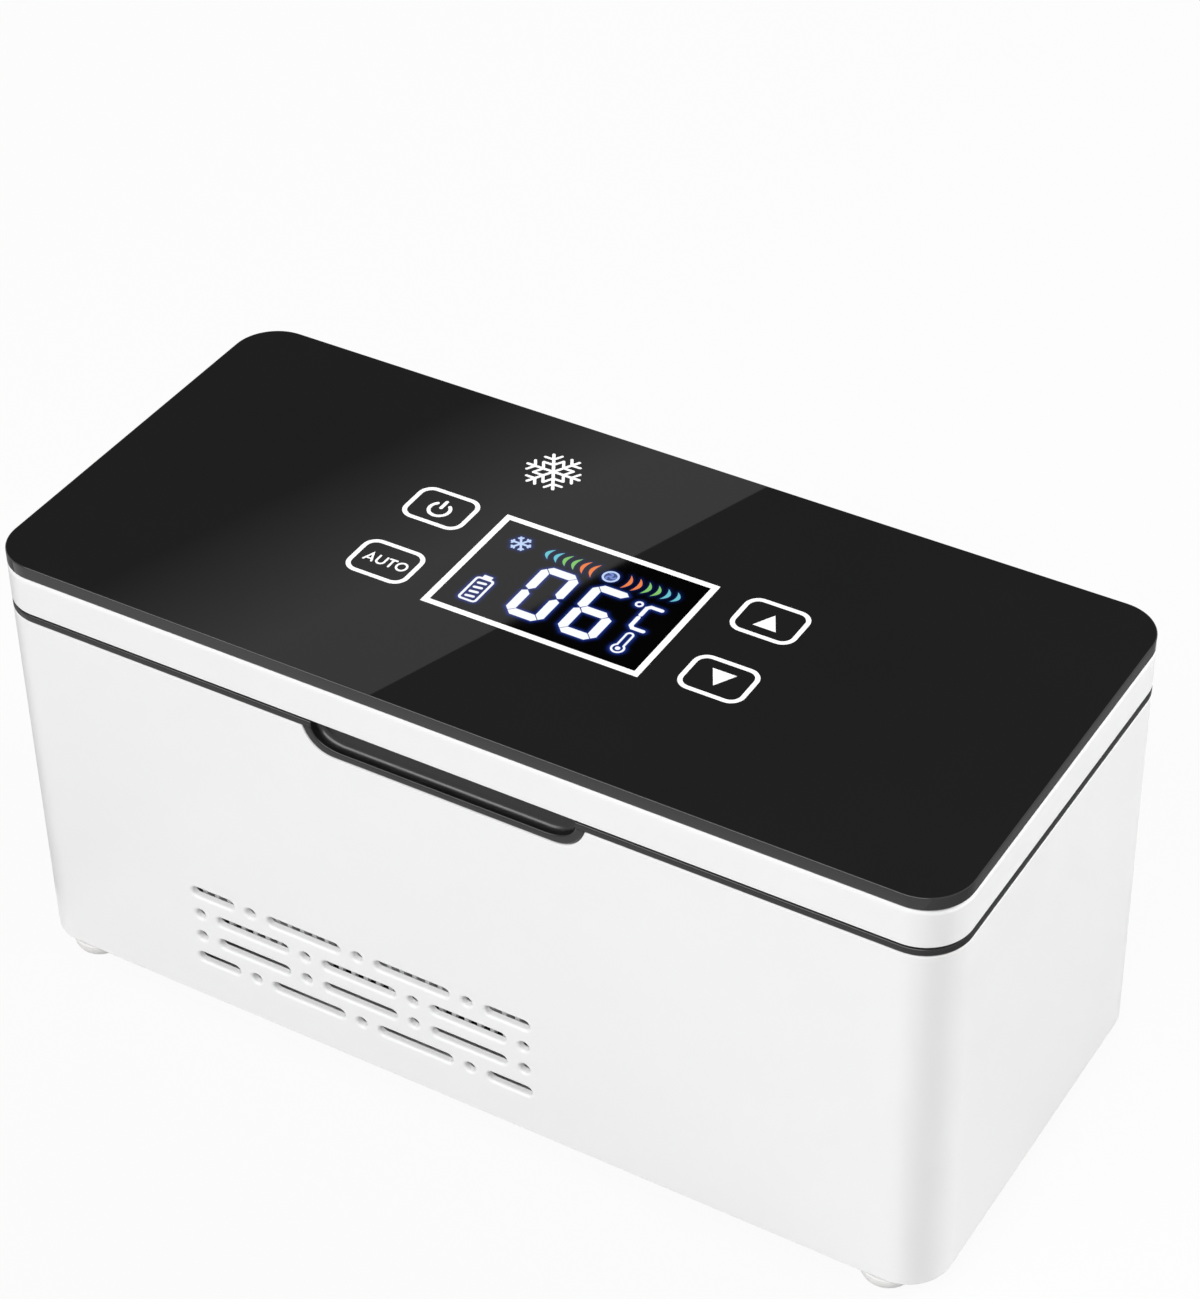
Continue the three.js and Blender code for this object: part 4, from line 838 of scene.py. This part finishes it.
def lid_gasket():
    half = (GASKET_OUTER - GASKET_INNER) / 2
    centre = (GASKET_INNER + GASKET_OUTER) / 2
    low = Z_LEDGE + FIT
    root = Z_PLUG + 0.8
    bulge = 1.3
    steps = 16
    rings = [seal(GASKET_INNER, root)]
    for i in range(steps + 1):
        a = math.pi * i / steps
        rings.append(seal(centre - half * math.cos(a), low + bulge * (1 - math.sin(a))))
    rings.append(seal(GASKET_OUTER, root))
    gasket = loft("lid_gasket_skin", rings, closed=True)
    dress(gasket, "lid_gasket_skin", "lid", "gasket_rubber", "lid_gasket")


def lid_panel():
    grow = GASKET_INNER - 2 * FIT - BORDER
    low = PLATEAU + 0.8
    profile = ((0, 1), (0, 0.2), (0.2, 0), (1.4, 0), (1.7, 0.12), (2.4, 0.4))
    rings = [seal(grow - inset, low + rise) for inset, rise in profile]
    dress(loft("lid_panel_skin", rings), "lid_inner_panel_skin", "lid", "grey_panel", "lid_inner_panel")


# CAD nodes whose shape is right get softened edges

FLUSH_TURN = math.radians(1)
BEVEL_TURN = math.radians(40)


def refined(node, body, slot, width, look=None):
    obj = add(node + "_skin", frame["nodes"][node].data.copy())
    bm = bmesh.new()
    bm.from_mesh(obj.data)
    bmesh.ops.remove_doubles(bm, verts=bm.verts, dist=CAD_WELD)
    bmesh.ops.dissolve_limit(bm, angle_limit=FLUSH_TURN, verts=bm.verts, edges=bm.edges)
    bm.to_mesh(obj.data)
    bm.free()
    modifier = obj.modifiers.new("edges", "BEVEL")
    modifier.width = width * MM
    modifier.segments = 2
    modifier.limit_method = "ANGLE"
    modifier.angle_limit = BEVEL_TURN
    modifier.use_clamp_overlap = True
    settle(obj)
    dress(obj, node + "_skin", body, slot, node, look=look)


def hinge_rod():
    end = ROD - ROD_EDGE
    profile = [(end, -ROD_END), (ROD, ROD_EDGE - ROD_END), (ROD, ROD_END - ROD_EDGE), (end, ROD_END)]
    rod = lathe("rod", profile, (0, AXIS_Y, AXIS_Z), "X", ROD_STEPS)
    dress(rod, "hinge_rod_skin", "case", "steel", "hinge_rod")


body_shell()
top_frame()
cold_tray()
feet()
base_cover()
base_screws()
dc_socket()
lid_shell()
glass_panel()
lid_liner()
lid_gasket()
lid_panel()
refined("heat_sink", "case", "tray_aluminium", 0.12, FIN_METAL)
refined("fan_frame", "case", "black_plastic", 0.25)
refined("fan_rotor", "fan", "black_plastic", 0.12)
hinge_rod()


# Figures on the glass, drawn in X and Y from the middle of the panel

INK_LOW = Z_TOP - 0.01
SCREEN_HIGH = Z_TOP + 0.015
INK_HIGH = Z_TOP + 0.03
LIT_HIGH = Z_TOP + 0.05
MITRE_LIMIT = 0.4
CAP_TURN = 75
CAP_STEPS = 6
glow_lines = []


def arc(cx, cy, radius, a0, a1, steps=16):
    turns = [math.radians(a0 + (a1 - a0) * i / steps) for i in range(steps + 1)]
    return [(cx + radius * math.cos(a), cy + radius * math.sin(a)) for a in turns]


def rounded(cx, cy, width, height, radius, steps=8):
    return [(x, y) for x, y, _ in ring(width, height, radius, 0, cy, cx, steps)]


def oval(cx, cy, rx, ry, steps=28):
    turns = np.linspace(0, 2 * math.pi, steps, endpoint=False)
    return [(cx + rx * math.cos(a), cy + ry * math.sin(a)) for a in turns]


def stroke(points, width, closed=False):
    """Line with mitred bends: a ring of quads when closed, one outline with round ends when open."""
    p = [np.array(q, float) for q in points]
    count = len(p)
    left = []
    right = []
    for i in range(count):
        before = p[i] - p[i - 1] if closed or i else p[1] - p[0]
        after = p[(i + 1) % count] - p[i] if closed or i < count - 1 else p[-1] - p[-2]
        before = before / np.linalg.norm(before)
        after = after / np.linalg.norm(after)
        mean = before + after
        mean = mean / np.linalg.norm(mean)
        normal = np.array((-mean[1], mean[0]))
        reach = width / 2 / max(MITRE_LIMIT, float(mean @ after))
        left.append(tuple(p[i] + normal * reach))
        right.append(tuple(p[i] - normal * reach))
    if closed:
        ends = [(i, (i + 1) % count) for i in range(count)]
        return [[[left[i], left[j], right[j], right[i]] for i, j in ends]]
    caps = []
    for end, run in ((0, p[0] - p[1]), (-1, p[-1] - p[-2])):
        a = math.degrees(math.atan2(run[1], run[0]))
        caps.append(arc(*p[end], width / 2, a + CAP_TURN, a - CAP_TURN, CAP_STEPS))
    return [[left + caps[1] + right[::-1] + caps[0]]]


def prism(faces, low, high):
    """Closed flat plate of faces that join at their edges."""
    bm = bmesh.new()
    for face in faces:
        bm.faces.new([bm.verts.new((x * MM, y * MM, low * MM)) for x, y in face])
    bmesh.ops.remove_doubles(bm, verts=bm.verts, dist=PLATE_WELD)
    grown = bmesh.ops.extrude_face_region(bm, geom=bm.faces[:], use_keep_orig=True)
    moved = [v for v in grown["geom"] if isinstance(v, bmesh.types.BMVert)]
    bmesh.ops.translate(bm, verts=moved, vec=(0, 0, (high - low) * MM))
    bmesh.ops.recalc_face_normals(bm, faces=bm.faces)
    mesh = bpy.data.meshes.new("plate")
    bm.to_mesh(mesh)
    bm.free()
    return add("plate", mesh)


def plate(name, shapes, high, look):
    """Thin plate in the glass's top face, joined from shapes that may cross."""
    obj = prism(shapes[0], INK_LOW, high)
    for shape in shapes[1:]:
        boolean(obj, prism(shape, INK_LOW, high), "UNION")
    obj.name = name
    obj.data.name = name
    obj.data.materials.clear()
    obj.data.materials.append(look)
    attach(obj, "lid")


def printed(name, shapes):
    plate(name, shapes, INK_HIGH, PRINT)


def lit(name, shapes, look, glow=1.0):
    """Lit figure of the display, remembered for the glow round it."""
    for shape in shapes:
        for face in shape:
            glow_lines.extend((a, b, glow) for a, b in zip(face, face[1:] + face[:1]))
    plate(name, shapes, LIT_HIGH, look)


def snowflake(cx, cy, reach, width, branches):
    """Six arms; each branch is its place along the arm and its length, as shares of the reach."""
    core = 0.04
    along, across = 0.5, 0.866
    fine = 0.92
    shapes = []
    for k in range(6):
        a = math.radians(60 * k)
        out = np.array((math.cos(a), math.sin(a)))
        side = np.array((-out[1], out[0]))
        centre = np.array((cx, cy))
        shapes += stroke([centre + out * reach * core, centre + out * (reach - width / 2)], width)
        for at, length in branches:
            for turn in (-1, 1):
                root = centre + out * reach * at
                tip = root + (out * along + side * turn * across) * reach * length
                shapes += stroke([root, tip], width * fine)
    return shapes


# Printed keys and signs

def keys():
    left, right = -34.13, 37.9
    upper, lower = 8.7, -10.8
    size = (12.7, 9.85, 2.5)
    border = 0.95
    for name, x, y in (("power", left, upper), ("auto", left, lower),
                       ("up", right, upper), ("down", right, lower)):
        printed("key_ring_" + name, stroke(rounded(x, y, *size), border, closed=True))
    x, y = -34.23, 8.23
    line = 0.74
    printed("sign_power", stroke(arc(x, y, 2.12, 131, 409), line) + stroke([(x, 8.8), (x, 10.95)], line))
    printed("sign_up", [[[(35.5, 6.25), (40.3, 6.25), (37.9, 10.6)]]])
    printed("sign_down", [[[(35.4, -8.55), (40.4, -8.55), (37.9, -12.95)]]])
    printed("sign_snowflake", snowflake(-21.6, 29.65, 6.15, 0.66, ((0.37, 0.36), (0.67, 0.31))))


def auto_sign():
    low, bridge, high = -11.97, -11.4, -9.72
    line = 0.44
    letters = stroke([(-38.4, low), (-37.5, high), (-36.6, low)], line)
    letters += stroke([(-38.05, bridge), (-37.0, bridge)], 0.36)
    letters += stroke([(-35.85, high), *arc(-35.02, -11.15, 0.83, 180, 360, 10), (-34.19, high)], line)
    letters += stroke([(-33.55, high), (-32.1, high)], line)
    letters += stroke([(-32.82, high), (-32.82, low)], line)
    letters += stroke(oval(-30.48, -10.83, 1.04, 1.13), line, closed=True)
    printed("sign_auto", letters)


# Display: white border, window, figures

WINDOW = (-20.6, 23.45, -16.35, 12.0)
DIGIT_LOW = -13.0
DIGIT_HIGH = 3.0
DIGIT_LINE = 1.9


def display_border():
    x0, x1, y0, y1 = -21.3, 24.15, -17.0, 12.65
    line = 1.3
    printed("display_border", stroke([(x0, y0), (x1, y0), (x1, y1), (x0, y1)], line, closed=True))


def digit(x0, x1, parts):
    """Seven-segment figure: mitred segments that nearly touch, with the outer corners cut off."""
    y0, y1, width = DIGIT_LOW, DIGIT_HIGH, DIGIT_LINE
    half = width / 2
    gap = 0.13
    cut = 1.6
    chop = cut / 2
    middle = (y0 + y1) / 2
    top = [(x0 + cut + gap, y1), (x1 - cut - gap, y1), (x1 - chop - gap, y1 - chop),
           (x1 - width - gap, y1 - width), (x0 + width + gap, y1 - width), (x0 + chop + gap, y1 - chop)]
    post = [(x0, y1 - cut - gap), (x0, middle + half * 0.75), (x0 + half, middle + gap),
            (x0 + width, middle + half + gap), (x0 + width, y1 - width - gap), (x0 + chop, y1 - chop - gap)]
    bridge = [(x0 + half + 2 * gap, middle), (x0 + width + gap, middle + half),
              (x1 - width - gap, middle + half), (x1 - half - 2 * gap, middle),
              (x1 - width - gap, middle - half), (x0 + width + gap, middle - half)]

    def across(shape):
        return [(x0 + x1 - x, y) for x, y in shape]

    def below(shape):
        return [(x, y0 + y1 - y) for x, y in shape]

    shapes = {"a": top, "b": across(post), "c": across(below(post)), "d": below(top), "e": below(post),
              "f": post, "g": bridge}
    return [[shapes[part]] for part in parts]


def temperature():
    lit("figure_tens", digit(-7.05, 1.1, "abcdef"), LIT_WHITE)
    lit("figure_units", digit(4.2, 12.4, "acdefg"), LIT_WHITE)
    line = 0.85
    degree = stroke(oval(14.3, 1.25, 0.64, 0.64), 0.42, closed=True)
    celsius = stroke([(19.0, 1.5), (16.7, 1.5), (16.15, 0.9), (16.15, -1.45)], line)
    celsius += stroke([(16.15, -2.35), (16.15, -5.0), (16.75, -5.6), (19.05, -5.6)], line)
    lit("figure_celsius", degree + celsius, LIT_WHITE)
    bulb = (17.45, -12.1)
    outer = arc(bulb[0], -7.75, 0.68, 0, 180, 10) + arc(*bulb, 1.2, 124, 416, 26)
    lit("figure_thermometer", stroke(outer, 0.4, closed=True) + [[arc(*bulb, 0.5, 0, 345, 16)]], LIT_WHITE)


def battery_and_frost():
    cell = stroke(rounded(-14.55, -9.8, 3.55, 7.0, 0.6, 4), 0.48, closed=True)
    cell += [[[(-15.5, -6.3), (-13.6, -6.3), (-13.6, -5.2), (-15.5, -5.2)]]]
    for k in range(4):
        y = -12.05 + 1.45 * k
        cell += stroke([(-15.3, y - 0.1), (-13.85, y + 0.1)], 0.6)
    lit("figure_battery", cell, LIT_WHITE, glow=0.8)
    lit("figure_frost", snowflake(-14.75, 6.5, 2.25, 0.46, ((0.68, 0.22),)), LIT_ICE, glow=0.5)


def fan_sign():
    x, y = 5.38, 5.92
    line = 0.42
    lit("figure_fan_ring", stroke(oval(x, y, 1.5, 1.5), line, closed=True), LIT_ICE, glow=0.4)
    plate("figure_fan_disc", [[oval(x, y, 1.25, 1.25)]], INK_HIGH, LIT_DEEP)
    blades = []
    for k in range(3):
        a = 120 * k + 20
        root_x = x + 0.5 * math.cos(math.radians(a))
        root_y = y + 0.5 * math.sin(math.radians(a))
        blades += stroke(arc(root_x, root_y, 0.55, a - 190, a - 30, 8), line)
    lit("figure_fan_blades", blades, LIT_DIM, glow=0.2)


def crescent(x, y, height, side):
    """Tapered arc whose bulge is at x, to the left for side -1 and to the right for side 1."""
    bend = 1.25
    thick = 0.8
    inner_bend = 0.45
    turns = np.linspace(-1, 1, 15)
    outer = [(x - side * bend * t * t, y + t * height / 2) for t in turns]
    inner = [(x - side * (thick + inner_bend * t * t), y + t * height / 2) for t in turns[-2:0:-1]]
    return [outer + inner]


def waves():
    bands = ((LIT_CYAN, "cyan", 3.2), (LIT_GREEN, "green", 3.6), (LIT_ORANGE, "orange", 4.1))
    for band, (look, name, height) in enumerate(bands):
        shapes = []
        for k in range(2):
            step = 2 * band + k
            size = height + 0.2 * k
            shapes.append(crescent(-9.15 + 2.0 * step, 6.4 - 0.08 * step, size, -1))
            shapes.append(crescent(20.05 - 2.04 * step, 6.3 - 0.06 * step, size, 1))
        lit("figure_waves_" + name, shapes, look, glow=0.25)


def display_screen():
    """Dark window whose glow follows the distance to the lit figures."""
    x0, x1, y0, y1 = WINDOW
    nx, ny = 176, 114
    spread = 0.42
    fall = 1.5
    xs, ys = np.meshgrid(np.linspace(x0, x1, nx + 1), np.linspace(y0, y1, ny + 1))
    points = np.column_stack([xs.ravel(), ys.ravel()])
    glow = np.zeros(len(points))
    for a, b, strength in glow_lines:
        a = np.array(a)
        run = np.array(b) - a
        t = np.clip((points - a) @ run / max(1e-9, run @ run), 0, 1)
        away = np.linalg.norm(points - a - t[:, None] * run, axis=1)
        glow = np.maximum(glow, strength * np.exp(-(away / spread) ** fall))
    count = nx + 1
    faces = [(j * count + i, j * count + i + 1, (j + 1) * count + i + 1, (j + 1) * count + i)
             for j in range(ny) for i in range(nx)]
    vertices = [(x, y, SCREEN_HIGH) for x, y in points] + [(x, y, INK_LOW) for x, y in points]
    total = len(points)
    rim = list(range(nx)) + [i * count + nx for i in range(ny)]
    rim += [ny * count + nx - i for i in range(nx)] + [(ny - i) * count for i in range(ny)]
    faces += [tuple(total + i for i in reversed(face)) for face in faces]
    faces += [(i, total + i, total + j, j) for i, j in zip(rim, rim[1:] + rim[:1])]
    mesh = bpy.data.meshes.new("display_screen")
    mesh.from_pydata([tuple(c * MM for c in v) for v in vertices], [], faces)
    field = mesh.attributes.new("glow", "FLOAT", "POINT")
    field.data.foreach_set("value", np.concatenate([glow, np.zeros(total)]))
    material = surface("display_window", grey(0.0008), grey(0.0014), (0.02, 0.035), 20, 6, 0.0002,
                       Specular_IOR_Level=0.85)
    nodes = material.node_tree.nodes
    shader = nodes["Principled BSDF"]
    read = nodes.new("ShaderNodeAttribute")
    read.attribute_name = "glow"
    material.node_tree.links.new(read.outputs["Fac"], shader.inputs["Emission Strength"])
    shader.inputs["Emission Color"].default_value = (0.012, 0.035, 0.26, 1)
    mesh.materials.append(material)
    obj = add("display_screen", mesh)
    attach(obj, "lid")


keys()
auto_sign()
display_border()
temperature()
battery_and_frost()
fan_sign()
waves()
display_screen()


# Stage: floor, lights and the cards that the glass and the sides mirror

def path_share(nodes, links):
    """1 for what the camera, a reflection or glass sees, 0 for the light that falls on the object."""
    light_path = nodes.new("ShaderNodeLightPath")
    share = light_path.outputs["Is Camera Ray"]
    for ray in ("Is Glossy Ray", "Is Transmission Ray"):
        most = nodes.new("ShaderNodeMath")
        most.operation = "MAXIMUM"
        links.new(share, most.inputs[0])
        links.new(light_path.outputs[ray], most.inputs[1])
        share = most.outputs["Value"]
    return share


FLOOR_REACH = 6000.0
FLOOR_ENDS = (-20, -0.02)
FLOOR_GREY = 0.6
FLOOR_WHITE = 0.92
ROOM_LIGHT = 0.235
AIM = Vector((0, 0, 0.05))


def floor():
    rim = oval(0, 0, FLOOR_REACH, FLOOR_REACH, 48)
    plane = loft("floor", [[(x, y, z) for x, y in rim] for z in FLOOR_ENDS])
    material, nodes, links = new_material("floor")
    nodes.clear()
    matt = nodes.new("ShaderNodeBsdfDiffuse")
    matt.inputs["Color"].default_value = (*grey(FLOOR_GREY), 1)
    white = nodes.new("ShaderNodeEmission")
    share = nodes.new("ShaderNodeMath")
    share.operation = "MULTIPLY"
    share.inputs[1].default_value = FLOOR_WHITE
    links.new(path_share(nodes, links), share.inputs[0])
    mix = nodes.new("ShaderNodeMixShader")
    links.new(share.outputs["Value"], mix.inputs["Fac"])
    links.new(matt.outputs["BSDF"], mix.inputs[1])
    links.new(white.outputs["Emission"], mix.inputs[2])
    out = nodes.new("ShaderNodeOutputMaterial")
    links.new(mix.outputs["Shader"], out.inputs["Surface"])
    plane.data.materials.append(material)


def world():
    scene = bpy.context.scene
    scene.world = bpy.data.worlds.new("studio")
    scene.world.use_nodes = True
    nodes = scene.world.node_tree.nodes
    links = scene.world.node_tree.links
    room = nodes["Background"]
    room.inputs["Color"].default_value = (1, 1, 1, 1)
    room.inputs["Strength"].default_value = ROOM_LIGHT
    white = nodes.new("ShaderNodeBackground")
    white.inputs["Color"].default_value = (1, 1, 1, 1)
    mix = nodes.new("ShaderNodeMixShader")
    links.new(path_share(nodes, links), mix.inputs["Fac"])
    links.new(room.outputs["Background"], mix.inputs[1])
    links.new(white.outputs["Background"], mix.inputs[2])
    links.new(mix.outputs["Shader"], nodes["World Output"].inputs["Surface"])


def lamp(name, place, width, height, power, mirrored=True):
    data = bpy.data.lights.new(name, "AREA")
    data.shape = "RECTANGLE"
    data.size = width
    data.size_y = height
    data.energy = power
    obj = add(name, data)
    obj.visible_glossy = mirrored
    obj.location = place
    obj.rotation_euler = (AIM - obj.location).to_track_quat("-Z", "Y").to_euler()


CARD_HEIGHT = Z_TOP + 600
FLOOR_CARD_HEIGHT = 0.5
CARD_EDGE = ((-381.0, 770.0), (-441.0, 596.0))


def mirrored_card(name, corners, values, height):
    """Card that only reflections see; values are its brightness at the corners."""
    card = make(name, [(x, y, height) for x, y in corners], [tuple(range(len(corners)))])
    field = card.data.attributes.new("shine", "FLOAT", "POINT")
    field.data.foreach_set("value", values)
    material, nodes, links = new_material(name)
    nodes.clear()
    read = nodes.new("ShaderNodeAttribute")
    read.attribute_name = "shine"
    light = nodes.new("ShaderNodeEmission")
    links.new(read.outputs["Fac"], light.inputs["Strength"])
    out = nodes.new("ShaderNodeOutputMaterial")
    links.new(light.outputs["Emission"], out.inputs["Surface"])
    card.data.materials.append(material)
    for ray in ("camera", "diffuse", "transmission", "volume_scatter", "shadow"):
        setattr(card, "visible_" + ray, False)


def cards():
    """Cards overhead that the glass mirrors, and cards on the floor that the sides mirror."""
    flag = [(-1100, 200), (150, 200), (150, 1150), (-1100, 1150)]
    mirrored_card("dark_card", flag, [0.0] * 4, CARD_HEIGHT + 20)
    (x0, y0), (x1, y1) = CARD_EDGE
    run = np.array((x1 - x0, y1 - y0)) / math.hypot(x1 - x0, y1 - y0)
    overrun = 150
    top = np.array(CARD_EDGE[0]) - run * overrun
    low = np.array(CARD_EDGE[1]) + run * overrun
    away = np.array((run[1], -run[0]))
    for name, near, far, bright, dim in (("light_card", 0, 60, 0.4, 0.4), ("fading_card", 60, 150, 0.4, 0.0)):
        corners = (top + away * near, low + away * near, low + away * far, top + away * far)
        mirrored_card(name, [tuple(p) for p in corners], [bright, bright, dim, dim], CARD_HEIGHT)
    for name, x0, x1, y0, y1, front, back in (("front_card", -104, 97, -150, -46.5, 0.9, 1.5),
                                              ("near_card", 98, 700, -130, 20, 0.8, 0.3),
                                              ("right_card", 98, 700, 20, 700, 0.3, 0.3),
                                              ("left_card", -700, -112, -60, 500, 0.32, 0.32)):
        corners = [(x0, y0), (x1, y0), (x1, y1), (x0, y1)]
        mirrored_card(name, corners, [front, front, back, back], FLOOR_CARD_HEIGHT)


def camera():
    data = bpy.data.cameras.new("camera")
    data.sensor_width = 36
    data.lens = 99.492
    data.clip_end = 50
    obj = add("camera", data)
    obj.location = (0.282949, -0.453558, 0.505211)
    obj.rotation_euler = [math.radians(a) for a in (51.75065, 0.920036, 30.65601)]
    bpy.context.scene.camera = obj


floor()
world()
lamp("key", (-0.15, -1.12, 1.24), width=1.9, height=0.6, power=24.3)
lamp("side", (1.12, 0.92, 0.9), width=0.75, height=0.75, power=24.0, mirrored=False)
lamp("back", (-1.05, 1.35, 0.8), width=0.75, height=0.75, power=8.0, mirrored=False)
cards()
camera()
bpy.context.scene.view_settings.view_transform = "Standard"
